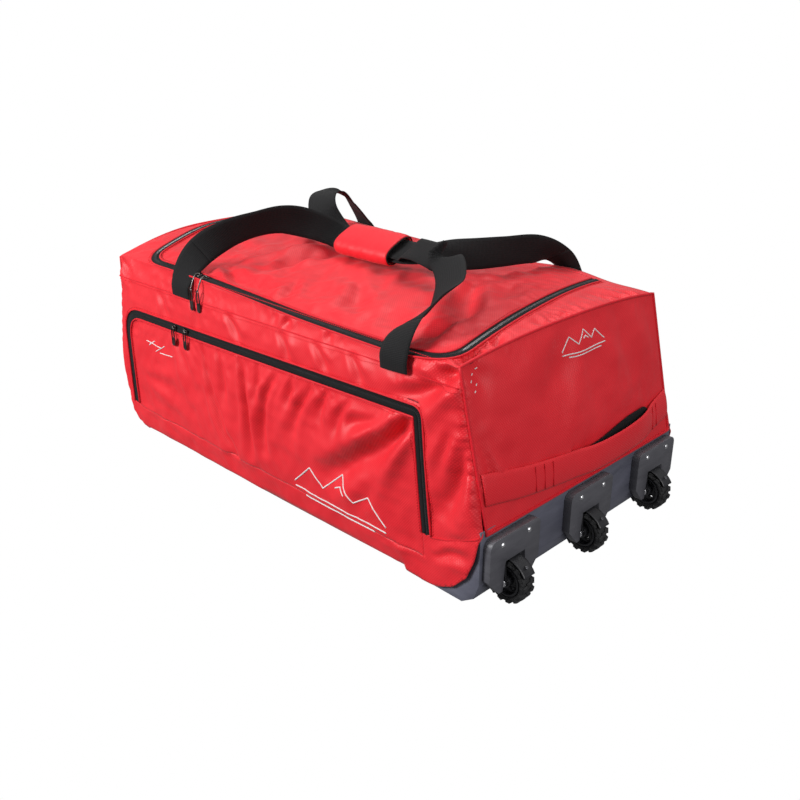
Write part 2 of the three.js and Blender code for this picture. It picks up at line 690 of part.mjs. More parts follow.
// A chunky tyre: lugs stand out round the rim, each as wide as the tyre. One lug points down.
function tyre(i) {
  const pitch = (2 * Math.PI) / WHEEL.lugs;
  const low = WHEEL.radius - WHEEL.lugHeight;
  const corners = [[-0.25, WHEEL.radius], [0.25, WHEEL.radius], [0.33, low], [0.67, low]];
  const points = [];
  for (let lug = 0; lug < WHEEL.lugs; lug += 1) {
    corners.forEach(([share, r]) => {
      const a = (lug + share) * pitch - Math.PI / 2;
      points.push([r * Math.cos(a), r * Math.sin(a)]);
    });
  }
  const half = WHEEL.width / 2;
  return atWheel(plateFront(ringShape(points, RIM.radius + GAP), -half, half, 12), i);
}

// A spoked hub: a rim and a boss joined by a web with holes.
function hub(i) {
  const half = WHEEL.width / 2 - 1.5;
  const round = (radius, count, reach) =>
    solidOf(plateFront(shapeOf(circlePoints(radius, count)), -reach, reach));
  const rim = round(RIM.radius, 24, half).subtract(round(RIM.radius - RIM.wall, 24, WHEEL.width));
  const boss = round(BUSH_RADIUS + 3, 16, half + 1);
  let web = round(RIM.radius - RIM.wall + 1, 24, RIM.webHalf);
  circlePoints(RIM.holeCircle, RIM.spokeHoles).forEach(([x, z]) => {
    web = web.subtract(round(RIM.holeRadius, 10, WHEEL.width).translate([x, 0, z]));
  });
  return rim.add(boss).add(web).subtract(round(BUSH_RADIUS + GAP, 20, WHEEL.width))
    .translate([WHEEL.x, wheelY(i), WHEEL.radius]);
}

// A bush pressed into the hub, running on the axle.
function bush(i) {
  const shape = ringShape(circlePoints(BUSH_RADIUS, 20), AXLE_RADIUS + BUSH_CLEARANCE);
  const half = WHEEL.width / 2 - 0.5;
  return atWheel(plateFront(shape, -half, half, 10), i);
}

// An axle bolt: a shaft with a domed head on the pocket side and a nut at the other end.
function axle(i) {
  const reach = FORK.half + GAP;
  const end = reach + AXLE_HEAD.height;
  const shaft = AXLE_RADIUS - BUSH_CLEARANCE;
  const profile = [[0, -end], [AXLE_HEAD.radius - 2, -end + 0.4], [AXLE_HEAD.radius, -reach - 0.4],
    [AXLE_HEAD.radius, -reach], [shaft, -reach], [shaft, reach], [AXLE_HEAD.radius, reach],
    [AXLE_HEAD.radius, end], [0, end]]
    .map(([r, y]) => new THREE.Vector2(r, y));
  return atWheel(new THREE.LatheGeometry(profile, 20), i);
}

function wheels() {
  WHEEL_NAMES.forEach((name, i) => {
    add(`wheel_fork_${name}`, fork(i), DARK_STEEL);
    add(`axle_${name}`, axle(i), BRIGHT_STEEL);
    add(`bush_${name}`, bush(i), BOARD_PLASTIC);
    add(`hub_${name}`, hub(i), HUB_PLASTIC);
    add(`tyre_${name}`, tyre(i), TYRE_RUBBER);
  });
}

bottomPanel();
endPanels();
frontAndBack();
pocketFlap();
top();
sliders();
carryStraps();
gripWrap();
wheelEndBand();
farEndHandle();
wheelTray();
wheelHousings();
wheels();

export default bag;
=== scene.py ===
"""Looks for the rolling duffel bag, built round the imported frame.

Lengths are in millimetres until a mesh is made; MM turns them into Blender's metres.
+X points to the wheel end, -Y to the pocket side, +Z up.
"""
import json
import math

import bmesh
import bpy
import numpy as np
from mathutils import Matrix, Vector, geometry
from mathutils.bvhtree import BVHTree


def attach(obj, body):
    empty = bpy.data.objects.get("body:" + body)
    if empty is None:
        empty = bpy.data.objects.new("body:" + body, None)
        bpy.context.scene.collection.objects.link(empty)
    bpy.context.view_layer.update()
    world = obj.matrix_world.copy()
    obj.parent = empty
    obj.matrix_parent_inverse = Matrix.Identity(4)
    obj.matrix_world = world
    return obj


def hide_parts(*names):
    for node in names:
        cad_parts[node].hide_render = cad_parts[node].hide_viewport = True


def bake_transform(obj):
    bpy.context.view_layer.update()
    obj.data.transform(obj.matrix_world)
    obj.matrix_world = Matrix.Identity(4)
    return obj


MM = 0.001
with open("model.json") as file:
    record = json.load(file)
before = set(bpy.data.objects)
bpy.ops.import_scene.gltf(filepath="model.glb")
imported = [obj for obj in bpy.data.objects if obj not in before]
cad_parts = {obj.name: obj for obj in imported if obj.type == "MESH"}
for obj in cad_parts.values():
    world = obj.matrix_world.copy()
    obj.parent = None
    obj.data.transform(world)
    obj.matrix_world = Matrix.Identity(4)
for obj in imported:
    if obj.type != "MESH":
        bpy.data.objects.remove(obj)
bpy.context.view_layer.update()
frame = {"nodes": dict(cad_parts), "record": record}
NODES = frame["nodes"]
BODIES = frame["record"]["behaviour"]["bodies"]
BODY_OF = {name: body for body, names in BODIES.items() for name in names}
SCENE = bpy.context.scene

# Dimensions shared with the frame ------------------------------------------------------------

FAR_X = -449.0
SIDE_Y = 238.0
CORNER = 10.0                    # rounding where two panels meet
EDGE_Y = SIDE_Y - CORNER         # where the end panels stop
FOOT_RADIUS = 52.0               # rounding under the far end
TRAY_FRONT_X = 345.0
SHOULDER_Y = 222.0
HINGE_Y = 212.0
TAPE = 8.0                       # one half of a zip
LID_BACK = (-436.0, 300.0)       # ends of the lid's zip line, at the hinge
# Corners of the lid's zip line, and how far along both sides each one's rounding reaches
LID_CORNERS = [(-436.0, -10.0, 90.0), (-345.0, -SHOULDER_Y, 46.0), (372.0, -SHOULDER_Y, 42.0)]
POCKET = dict(left=-414.0, right=350.0, right_top=331.0, bottom=48.0, end_left=52.0,
              end_right=86.0, top_left=236.0, top_right=262.0, corner=50.0, sharp=10.0)
WHEEL = dict(radius=34.0, x=450.0, spacing=179.0)
WHEEL_NAMES = ("front", "middle", "rear")
STEP = 7.0    # spacing of a sheet's points

# Materials -----------------------------------------------------------------------------------

BAND_UNITS = 20                  # Blender's band texture repeats every 2 pi / BAND_UNITS
WEAVE_TURN = math.radians(38)    # each yarn's slant against the sheet


def new_material(name, color, roughness, **settings):
    mat = bpy.data.materials.new(name)
    mat.use_nodes = True
    shader = mat.node_tree.nodes["Principled BSDF"]
    shader.inputs["Base Color"].default_value = (*color, 1)
    shader.inputs["Roughness"].default_value = roughness
    for key, value in settings.items():
        shader.inputs[key.replace("_", " ")].default_value = value
    return mat


def node(mat, kind, **settings):
    made = mat.node_tree.nodes.new("ShaderNode" + kind)
    for key, value in settings.items():
        if hasattr(made, key):
            setattr(made, key, value)
        else:
            made.inputs[key].default_value = value
    return made


def link(mat, out, into):
    mat.node_tree.links.new(out, into)


def shader_input(mat, name):
    return mat.node_tree.nodes["Principled BSDF"].inputs[name]


def place(mat, source, scale=(1, 1, 1), turn=0.0):
    """Texture coordinates, scaled and turned about Z."""
    coords = node(mat, "TexCoord")
    mapping = node(mat, "Mapping")
    mapping.inputs["Scale"].default_value = scale
    mapping.inputs["Rotation"].default_value = (0, 0, turn)
    link(mat, coords.outputs[source], mapping.inputs["Vector"])
    return mapping.outputs["Vector"]


def waves(mat, vector, pitch, direction="X"):
    """Parallel ribs, one every `pitch` metres."""
    made = node(mat, "TexWave", wave_type="BANDS", bands_direction=direction)
    made.inputs["Scale"].default_value = 2 * math.pi / (BAND_UNITS * pitch)
    link(mat, vector, made.inputs["Vector"])
    return made.outputs["Fac"]


def noise(mat, vector, scale, detail=3.0, rough=0.5):
    made = node(mat, "TexNoise", Scale=scale, Detail=detail, Roughness=rough)
    link(mat, vector, made.inputs["Vector"])
    return made.outputs["Fac"]


def maths(mat, operation, a, b):
    made = node(mat, "Math", operation=operation)
    for socket, value in zip(made.inputs, (a, b)):
        if isinstance(value, (int, float)):
            socket.default_value = value
        else:
            link(mat, value, socket)
    return made.outputs["Value"]


def vary(mat, factor, dark, light, low=0.0, high=1.0):
    """Base colour between two colours, by a grey pattern."""
    ramp = node(mat, "ValToRGB")
    ramp.color_ramp.elements[0].position = low
    ramp.color_ramp.elements[1].position = high
    ramp.color_ramp.elements[0].color = (*dark, 1)
    ramp.color_ramp.elements[1].color = (*light, 1)
    link(mat, factor, ramp.inputs["Fac"])
    link(mat, ramp.outputs["Color"], shader_input(mat, "Base Color"))


def emboss(mat, height, distance, strength=1.0, under=None):
    """Adds a bump layer, on top of the bump `under`, and returns its normal."""
    bump = node(mat, "Bump")
    bump.inputs["Distance"].default_value = distance
    bump.inputs["Strength"].default_value = strength
    link(mat, height, bump.inputs["Height"])
    if under is not None:
        link(mat, under, bump.inputs["Normal"])
    link(mat, bump.outputs["Normal"], shader_input(mat, "Normal"))
    return bump.outputs["Normal"]


def roughen(mat, factor, low, high):
    span = node(mat, "MapRange")
    span.inputs["To Min"].default_value = low
    span.inputs["To Max"].default_value = high
    link(mat, factor, span.inputs["Value"])
    link(mat, span.outputs["Result"], shader_input(mat, "Roughness"))


def cloth_material(name, dark, light, roughness, pitch=0.003, sheen=0.25):
    """Woven polyester: a fine diamond weave laid along the sheet's own two directions."""
    mat = new_material(name, light, roughness, Sheen_Weight=sheen, Sheen_Roughness=0.4,
                       Specular_IOR_Level=0.3)
    one = waves(mat, place(mat, "UV", turn=WEAVE_TURN), pitch)
    two = waves(mat, place(mat, "UV", turn=-WEAVE_TURN), pitch)
    weave = maths(mat, "MULTIPLY", one, two)
    crumple = noise(mat, place(mat, "UV"), 34, 5, 0.55)
    cloud = noise(mat, place(mat, "UV"), 7, 2)
    vary(mat, maths(mat, "ADD", maths(mat, "MULTIPLY", weave, 0.5),
                    maths(mat, "MULTIPLY", cloud, 0.6)), dark, light, 0.2, 0.85)
    roughen(mat, crumple, roughness - 0.06, roughness + 0.1)
    soft = emboss(mat, crumple, 0.0022, 0.45)
    emboss(mat, weave, 0.0004, 0.5, soft)
    return mat


def webbing_material(name, dark, light, pitch=0.0022):
    """Strap webbing: ribs across the strap and a fainter line along it."""
    mat = new_material(name, light, 0.82, Sheen_Weight=0.02, Specular_IOR_Level=0.22)
    across = waves(mat, place(mat, "UV"), pitch, "Y")
    along = waves(mat, place(mat, "UV"), pitch * 1.6, "X")
    weave = maths(mat, "MULTIPLY", across, maths(mat, "ADD", maths(mat, "MULTIPLY", along, 0.5), 0.5))
    fuzz = noise(mat, place(mat, "UV"), 260, 4, 0.6)
    vary(mat, maths(mat, "ADD", maths(mat, "MULTIPLY", weave, 0.6),
                    maths(mat, "MULTIPLY", fuzz, 0.5)), dark, light, 0.15, 0.9)
    under = emboss(mat, fuzz, 0.0004, 0.3)
    emboss(mat, weave, 0.0006, 0.8, under)
    return mat


def plastic_material(name, dark, light, roughness, grain=900.0):
    """Moulded plastic with a fine spark-eroded grain and faint scuffs."""
    mat = new_material(name, light, roughness)
    grainy = noise(mat, place(mat, "Object"), grain, 2)
    scuff = noise(mat, place(mat, "Object", scale=(1, 1, 4)), 22, 6, 0.65)
    vary(mat, scuff, dark, light, 0.3, 0.75)
    roughen(mat, scuff, roughness - 0.1, roughness + 0.12)
    under = emboss(mat, scuff, 0.0006, 0.15)
    emboss(mat, grainy, 0.0003, 0.25, under)
    return mat


def metal_material(name, dark, light, roughness):
    mat = new_material(name, light, roughness, Metallic=1.0)
    brushed = noise(mat, place(mat, "Object", scale=(1, 1, 14)), 420, 3)
    vary(mat, noise(mat, place(mat, "Object"), 60, 3), dark, light, 0.3, 0.8)
    roughen(mat, brushed, roughness - 0.06, roughness + 0.12)
    emboss(mat, brushed, 0.0002, 0.2)
    return mat


RED = cloth_material("red_cloth", (0.60, 0.009, 0.018), (0.76, 0.030, 0.040), 0.46, sheen=0.06)
RED_HEM = cloth_material("red_hem", (0.55, 0.004, 0.013), (0.72, 0.009, 0.022), 0.5, 0.0016, 0.05)
LINING = cloth_material("lining", (0.10, 0.008, 0.012), (0.16, 0.012, 0.018), 0.8, 0.002, 0.1)
BLACK = webbing_material("black_webbing", (0.0025, 0.0025, 0.003), (0.011, 0.0105, 0.011))
# Near-black cloth of the zip tapes; the same colour is painted on the wheel end as the shade in the gap
# above its band
ZIP_CLOTH_AND_SLOT_SHADE = webbing_material("zip_cloth_and_slot_shade", (0.002, 0.002, 0.0025), (0.009, 0.009, 0.010), 0.0012)
COIL = plastic_material("zip_coil", (0.006, 0.006, 0.007), (0.020, 0.020, 0.022), 0.36)
ZIP_METAL = metal_material("zip_metal", (0.05, 0.045, 0.042), (0.16, 0.15, 0.145), 0.34)
TRAY = plastic_material("tray_plastic", (0.070, 0.069, 0.080), (0.100, 0.099, 0.112), 0.46)
RECESS = plastic_material("tray_recess", (0.078, 0.080, 0.108), (0.112, 0.114, 0.150), 0.5)
BOARD = plastic_material("board_plastic", (0.014, 0.014, 0.016), (0.024, 0.024, 0.027), 0.6)
RUBBER = plastic_material("tyre_rubber", (0.008, 0.008, 0.009), (0.020, 0.020, 0.021), 0.7, 1500)
HUB = plastic_material("hub_plastic", (0.012, 0.012, 0.014), (0.028, 0.028, 0.032), 0.38)
BRIGHT = metal_material("bright_steel", (0.66, 0.66, 0.68), (0.86, 0.86, 0.88), 0.24)
STEEL = metal_material("fork_steel", (0.10, 0.10, 0.11), (0.30, 0.30, 0.32), 0.36)
# White thread of the emblems; on the small stitches at the wheel end's corner its white is a painted
# highlight
WHITE_THREAD_AND_HIGHLIGHT = cloth_material("white_thread_and_highlight", (0.62, 0.60, 0.60), (0.86, 0.84, 0.84), 0.6, 0.001, 0.1)

# Making pieces -------------------------------------------------------------------------------


def mesh_object(name, points, faces, mat, smooth=True):
    """An object from points in millimetres."""
    mesh = bpy.data.meshes.new(name)
    mesh.from_pydata([tuple(c * MM for c in p) for p in points], [], faces)
    mesh.materials.append(mat)
    mesh.polygons.foreach_set("use_smooth", [smooth] * len(mesh.polygons))
    mesh.update()
    obj = bpy.data.objects.new(name, mesh)
    SCENE.collection.objects.link(obj)
    return obj


def settle(obj):
    """Applies every modifier."""
    graph = bpy.context.evaluated_depsgraph_get()
    graph.update()
    baked = bpy.data.meshes.new_from_object(obj.evaluated_get(graph), depsgraph=graph)
    obj.modifiers.clear()
    obj.data = baked
    return obj


def belongs(obj, body, slot, *replaced):
    if body:
        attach(obj, body)
    if replaced:
        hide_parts(*replaced)
    return obj


def sewn_on(obj, body="bag_body"):
    """A further piece of red cloth or trim, which stands for no CAD node."""
    return belongs(obj, body, "red_polyester")


def positions(obj):
    flat = np.empty(len(obj.data.vertices) * 3)
    obj.data.vertices.foreach_get("co", flat)
    return flat.reshape(-1, 3) / MM


def set_positions(obj, points):
    obj.data.vertices.foreach_set("co", (points * MM).ravel())
    obj.data.update()


def resample(line, step, closed=False):
    """The same corners, with each straight piece cut into steps."""
    points = [np.array(p, float) for p in line]
    if closed:
        points.append(points[0])
    out = []
    for a, b in zip(points, points[1:]):
        count = max(1, math.ceil(np.linalg.norm(b - a) / step))
        out.extend(a + (b - a) * (i / count) for i in range(count))
    if not closed:
        out.append(points[-1])
    return np.array(out)


def distance(points, line, closed=False):
    """How far each point is from a line."""
    line = np.array(line, float)
    ends = np.roll(line, -1, axis=0) if closed else line[1:]
    starts = line if closed else line[:-1]
    best = np.full(len(points), np.inf)
    for a, b in zip(starts, ends):
        span = b - a
        t = np.clip((points - a) @ span / max(span @ span, 1e-9), 0, 1)
        best = np.minimum(best, np.linalg.norm(points - (a + t[:, None] * span), axis=1))
    return best


def inside(points, loop):
    loop = np.array(loop, float)
    a, b = loop, np.roll(loop, -1, axis=0)
    hit = np.zeros(len(points), bool)
    for (x0, y0), (x1, y1) in zip(a, b):
        crosses = (y0 > points[:, 1]) != (y1 > points[:, 1])
        if y1 != y0:
            hit ^= crosses & (points[:, 0] < x0 + (points[:, 1] - y0) * (x1 - x0) / (y1 - y0))
    return hit


def smooth_table(knots, reach=35.0):
    """A height table, read with rounded corners."""
    xs = np.arange(knots[0][0], knots[-1][0] + 1, 5.0)
    ys = np.interp(xs, *zip(*knots))
    half = int(reach / 5)
    padded = np.pad(ys, half, mode="edge")
    window = np.hanning(2 * half + 3)[1:-1]
    soft = np.convolve(padded, window / window.sum(), mode="valid")
    return lambda x: np.interp(x, xs, soft)


def smoothstep(t):
    t = np.clip(t, 0, 1)
    return t * t * (3 - 2 * t)


def ripple(a, b, seed, size):
    """Soft random height, about -1 to 1, the same each run."""
    rng = np.random.default_rng(seed)
    total = np.zeros(len(a))
    for _ in range(14):
        angle, phase = rng.uniform(0, 2 * math.pi, 2)
        pitch = size * rng.uniform(0.6, 1.7)
        total += np.sin((a * math.cos(angle) + b * math.sin(angle)) * 2 * math.pi / pitch + phase)
    return total / 5


# The bag's outline ---------------------------------------------------------------------------

TOP_FRONT = smooth_table([(-460, 330), (-430, 336), (-388, 340), (-193, 341), (-43, 336), (78, 331),
                          (187, 330), (285, 330), (340, 338), (375, 341), (400, 338)])
TOP_MIDDLE = smooth_table([(-460, 359), (-430, 364), (-388, 362), (-200, 359), (0, 354), (100, 352),
                           (200, 354), (330, 357), (375, 353), (400, 349)])
TOP_REAR = smooth_table([(-460, 343), (-430, 349), (-373, 351), (-138, 343), (39, 338), (152, 345),
                         (234, 351), (274, 347), (313, 341), (375, 340), (400, 337)])
CROWN_POWER = 2.4


def top_height(x, y):
    """Height of the domed top."""
    share = np.abs(np.asarray(y, float) / SHOULDER_Y) ** CROWN_POWER
    edge = np.where(np.asarray(y) < 0, TOP_FRONT(x), TOP_REAR(x))
    return TOP_MIDDLE(x) - (TOP_MIDDLE(x) - edge) * share


FRONT_TOP_Y = -SHOULDER_Y - TAPE     # where the front panel meets the zip
TOP_RIGHT_X = 392.0
END_FOOT = (445.5, 120.0)            # lower edge of the wheel end, just outside the tray


def end_x(z, top):
    """The wheel end's lean, straight from its foot to its top edge."""
    share = (np.asarray(z, float) - END_FOOT[1]) / (top - END_FOOT[1])
    return END_FOOT[0] + (TOP_RIGHT_X - END_FOOT[0]) * share


def arc(cx, cy, radius, start, end, steps=8):
    angles = np.radians(np.linspace(start, end, steps + 1))
    return [(cx + radius * math.cos(a), cy + radius * math.sin(a)) for a in angles]


FOOT = arc(FAR_X + FOOT_RADIUS, FOOT_RADIUS, FOOT_RADIUS, 180, 270)
UNDERSIDE = [(-100, 1), (150, 4), (300, 8)]
OVER_TRAY = [(TRAY_FRONT_X, 8), (376, 15), (402, 27), (426, 52), (439, 86), END_FOOT]
FAR_CORNER_PULL = 17
FAR_BULGE = 8


def far_pull(y, z):
    """How far the far end's sheet lies in from its plane: its front top corner is pulled in by
    the lid, and it bulges out lower down."""
    y, z = np.asarray(y, float), np.asarray(z, float)
    corner = smoothstep((-y - 50) / 175) * smoothstep((z - 130) / 200)
    low_bulge = np.sin(np.pi * np.clip((z - 40) / 230, 0, 1)) ** 2
    return FAR_CORNER_PULL * corner - FAR_BULGE * low_bulge


def far_edge(top_y):
    zs = np.linspace(float(top_height(FAR_X, top_y)), FOOT_RADIUS + 8, 16)
    return [(FAR_X + float(far_pull(top_y, z)), float(z)) for z in zs]


def side_edges(top_y):
    """The front or back panel's edges, in X and Z: those it shares, and those over the tray."""
    low = far_edge(top_y) + FOOT + UNDERSIDE
    end = [END_FOOT, (TOP_RIGHT_X, float(top_height(TOP_RIGHT_X, top_y)))]
    return low, end


def side_outline(top_y):
    low, end = side_edges(top_y)
    xs = np.arange(TOP_RIGHT_X - 12, low[0][0] + 5, -12)
    return low + OVER_TRAY + end[1:] + [(x, float(top_height(x, top_y))) for x in xs]


def pocket_line(grow, bottom, end_right=None):
    """The pocket's zip line moved outwards by `grow`, from low left round to low right."""
    p = POCKET
    left = p["left"] - grow
    radius = p["corner"] + grow
    sharp = max(p["sharp"] + grow, 1)
    slope = (p["top_right"] - p["top_left"]) / (p["right_top"] - p["left"])

    def top_at(x):
        return p["top_left"] + grow + slope * (x - p["left"])

    def right_at(z):
        share = (z - p["end_right"]) / (p["top_right"] - p["end_right"])
        return p["right"] + grow + (p["right_top"] - p["right"]) * share

    corner_z = top_at(p["right_top"]) - sharp
    last = end_right or bottom
    points = [(left, bottom)]
    points += bend((left, top_at(left) - radius), (left, top_at(left)),
                   (left + radius, top_at(left + radius)))
    inner = right_at(corner_z) - sharp
    points += bend((inner, top_at(inner)), (right_at(corner_z + sharp), corner_z + sharp),
                   (right_at(corner_z), corner_z))
    points.append((right_at(last), last))
    return points


def bend(a, b, c, steps=7):
    """A quadratic curve."""
    out = []
    for i in range(steps + 1):
        t = i / steps
        out.append(tuple(a[k] * (1 - t) ** 2 + 2 * b[k] * t * (1 - t) + c[k] * t * t for k in (0, 1)))
    return out


def lid_line(grow, back=HINGE_Y):
    """The lid's zip line moved outwards by `grow`, from the back left round to the back right."""
    route = np.array([(LID_BACK[0], HINGE_Y)] + [c[:2] for c in LID_CORNERS] + [(LID_BACK[1], HINGE_Y)])
    way = np.diff(route, axis=0)
    way /= np.linalg.norm(way, axis=1)[:, None]
    out = np.column_stack([way[:, 1], -way[:, 0]])
    spread = (out[:-1] * out[1:]).sum(axis=1)[:, None]
    corners = route[1:-1] + (out[:-1] + out[1:]) * grow / (1 + spread)
    ends = [(route[k] + out[k] * grow) + way[k] * ((back - route[k] - out[k] * grow)[1] / way[k, 1])
            for k in (0, -1)]
    moved = np.vstack([ends[0], corners, ends[1]])
    line = [tuple(ends[0])]
    for i, (_, _, reach) in enumerate(LID_CORNERS):
        corner = moved[i + 1]
        before, after = ((at - corner) / np.linalg.norm(at - corner) for at in (moved[i], moved[i + 2]))
        line += bend(corner + before * (reach + grow), corner, corner + after * (reach + grow))
    return line + [tuple(ends[1])]


# Fabric sheets -------------------------------------------------------------------------------

CLOTH = dict(quality=5, mass=0.15, tension_stiffness=40, compression_stiffness=40,
             shear_stiffness=15, air_damping=2, pin_stiffness=1.0, use_pressure=True,
             uniform_pressure_force=1.0)
BULGE_ROUNDS = 60                # rounds of blur that part a slow bulge from the folds
RIPPLE_FADE = 22                 # the ripples start this far from a seam, and the folds
FOLD_FADE = 9                    # this far


def flat_mesh(loop, lines, loose, step):
    """Triangles filling a closed loop, with edges along each line. It also says which points are
    on the loop or on `lines`, which a seam holds; those on `loose` lines are free."""
    rows = [resample(loop, step, True)] + [resample(line, step) for line in lines + loose]
    seam_points = sum(len(row) for row in rows[:len(lines) + 1])
    fixed = np.concatenate(rows)
    edges, base = [], 0
    for i, row in enumerate(rows):
        count = len(row)
        edges += [(base + k, base + (k + 1) % count) for k in range(count if i == 0 else count - 1)]
        base += count
    low, high = fixed.min(axis=0), fixed.max(axis=0)
    tall = step * math.sqrt(3) / 2
    grid = np.array([(x + (row % 2) * step / 2, y)
                     for row, y in enumerate(np.arange(low[1], high[1], tall))
                     for x in np.arange(low[0], high[0], step)])
    free = grid[inside(grid, rows[0])]
    clear = distance(free, rows[0], True) > step * 0.6
    for line in lines + loose:
        clear &= distance(free, line) > step * 0.6
    free = free[clear]
    every = np.concatenate([fixed, free])
    verts, _, faces, origins, _, _ = geometry.delaunay_2d_cdt(
        [Vector(p) for p in every], edges, [list(range(len(rows[0])))], 1, 1e-4)
    held = np.array([any(i < seam_points for i in source) for source in origins])
    return np.array([tuple(v) for v in verts]), faces, held


def set_uv(obj, flat):
    """UVs in metres, from each vertex's place on the flat sheet."""
    layer = obj.data.uv_layers.new(name="flat")
    index = np.empty(len(obj.data.loops), int)
    obj.data.loops.foreach_get("vertex_index", index)
    layer.data.foreach_set("uv", (flat[index] * MM).ravel())


def neighbours(obj):
    edges = np.empty(len(obj.data.edges) * 2, int)
    obj.data.edges.foreach_get("vertices", edges)
    return edges.reshape(-1, 2)


def average_near(values, edges, rounds):
    """Values blurred along the mesh's edges."""
    count = np.bincount(edges.ravel(), minlength=len(values))[:, None].clip(1)
    for _ in range(rounds):
        total = np.zeros_like(values)
        np.add.at(total, edges[:, 0], values[edges[:, 1]])
        np.add.at(total, edges[:, 1], values[edges[:, 0]])
        values = (values + total / count) / 2
    return values


def drape(obj, held, cut, hold, stiff=4.0, broad=0.35, fine=1.0, frames=18):
    """Lets a sheet that was cut too large for its seams buckle, as sewn cloth does.

    `held` marks the seams and `cut` is the flat shape that the cloth was cut to. `hold` pulls the
    rest back to its place. The slow bulge is then kept by the share `broad` and the folds by the
    share `fine`.
    """
    start = positions(obj)
    obj.shape_key_add(name="sewn")
    flat_key = obj.shape_key_add(name="cut")
    laid = np.column_stack([cut[:, 0], cut[:, 1], np.zeros(len(cut))]) * MM
    flat_key.data.foreach_set("co", laid.ravel())
    group = obj.vertex_groups.new(name="seams")
    group.add([int(i) for i in np.flatnonzero(held)], 1.0, "REPLACE")
    group.add([int(i) for i in np.flatnonzero(~held)], hold, "REPLACE")
    cloth = obj.modifiers.new("cloth", "CLOTH")
    cloth.collision_settings.use_collision = False
    for key, value in CLOTH.items():
        setattr(cloth.settings, key, value)
    cloth.settings.bending_stiffness = stiff
    cloth.settings.vertex_group_mass = "seams"
    cloth.settings.rest_shape_key = flat_key
    cloth.settings.effector_weights.gravity = 0
    for number in range(1, frames + 1):
        SCENE.frame_set(number)
    settle(obj)
    SCENE.frame_set(1)
    moved = positions(obj) - start
    slow = average_near(moved, neighbours(obj), BULGE_ROUNDS)
    set_positions(obj, start + slow * broad + (moved - slow) * fine)


def creases(flat, folds):
    """Height of long folds. A fold is its start, its end, its half width, its depth and its bow:
    a sharp valley between two soft ridges, or the other way round where the depth is negative."""
    total = np.zeros(len(flat))
    for start, end, width, depth, bow in folds:
        start, span = np.array(start, float), np.subtract(end, start)
        length = np.linalg.norm(span)
        along = (flat - start) @ span / length ** 2
        inner = np.clip(along, 0, 1)
        across = (flat - start) @ np.array([-span[1], span[0]]) / length
        across -= 4 * bow * inner * (1 - inner)
        u = across / (width * (0.6 + 0.8 * inner))
        profile = 0.6 * (np.exp(-(u - 1.8) ** 2) + np.exp(-(u + 1.8) ** 2)) - np.exp(-u * u)
        fade = np.exp(-((along - inner) * length / width) ** 2) * np.sin(np.pi * (0.15 + 0.75 * inner))
        total += 1.2 * depth * profile * fade
    return total


def gathers(flat, line, pitch, reach, depth, side=0):
    """Height of the short puckers that a tight row of stitches leaves in the cloth beside it.
    They lie on the left of the line for a positive side and on its right for a negative one."""
    away = np.full(len(flat), np.inf)
    along, left = np.zeros(len(flat)), np.zeros(len(flat))
    travel = 0.0
    for a, b in zip(np.array(line[:-1], float), np.array(line[1:], float)):
        span = b - a
        length = np.linalg.norm(span)
        t = np.clip((flat - a) @ span / length ** 2, 0, 1)
        gap = np.linalg.norm(flat - (a + t[:, None] * span), axis=1)
        turn = (flat - a) @ np.array([-span[1], span[0]])
        near = gap < away
        away = np.where(near, gap, away)
        along = np.where(near, travel + t * length, along)
        left = np.where(near, turn, left)
        travel += length
    lean = along + away * 0.35 * np.sin(along / 47)
    beat = np.sin(2 * np.pi * lean / pitch + 1.9 * np.sin(lean / pitch * 1.7))
    size = 0.55 + 0.45 * np.sin(lean / pitch * 1.13 + pitch)
    height = (1 - 2 * np.sqrt(np.abs(beat).clip(0.02))) * size * np.exp(-(away / reach) ** 2)
    return depth * height * (1 if side == 0 else left * side > 0)


def sheet(name, loop, lift, lines=(), loose=(), ease=(0.02, 0.005), hold=0.1, swell=3.0, seed=1,
          pins=(), folds=None, **drape_by):
    """A draped fabric sheet. lift turns flat places into X, Y, Z. It has no thickness yet.

    `ease` is how much larger the cloth was cut, along each of its two directions. `folds` gives
    the height of the folds that the cloth starts with.
    """
    flat, faces, held = flat_mesh(loop, list(lines), list(loose), STEP)
    place_at = lift(flat)
    obj = mesh_object(name, place_at, faces, RED)
    set_uv(obj, flat)
    for centre, radius in pins:
        held |= np.linalg.norm(flat - np.array(centre), axis=1) < radius
    normals = np.empty(len(flat) * 3)
    obj.data.vertices.foreach_get("normal", normals)
    normals = normals.reshape(-1, 3)
    near = distance(flat, loop, True)
    for line in lines:
        near = np.minimum(near, distance(flat, line))
    fade = smoothstep(near / RIPPLE_FADE)
    fade[held] = 0
    x, y = flat.T
    height = (ripple(x, y, seed, 75) + 0.5 * ripple(x, y, seed + 9, 34)) * fade * swell
    if folds:
        height += folds(flat) * smoothstep(near / FOLD_FADE) * ~held
    set_positions(obj, place_at + normals * height[:, None])
    if ease:
        drape(obj, held, cut_shape(flat, ease), hold, **drape_by)
    return obj, flat


def cut_shape(flat, ease):
    """The flat cloth before sewing: larger by `ease`, unevenly, so that folds gather in places."""
    x, y = flat.T
    extra = 1 + 0.6 * np.sin(x / 61) * np.sin(y / 83 + x / 170)
    uneven = np.column_stack([8 * ease[0] * extra * np.sin(x / 29), np.zeros(len(flat))])
    return flat * (1 + np.array(ease)) + uneven


def keep_faces(obj, name, wanted, flat):
    """A new object with only the faces whose middle is wanted."""
    centres = np.array([flat[list(p.vertices)].mean(axis=0) for p in obj.data.polygons])
    mask = wanted(centres)
    made = obj.copy()
    made.data = obj.data.copy()
    made.name = made.data.name = name
    SCENE.collection.objects.link(made)
    work = bmesh.new()
    work.from_mesh(made.data)
    work.faces.ensure_lookup_table()
    bmesh.ops.delete(work, geom=[f for f, ok in zip(work.faces, mask) if not ok], context="FACES")
    work.to_mesh(made.data)
    work.free()
    return made


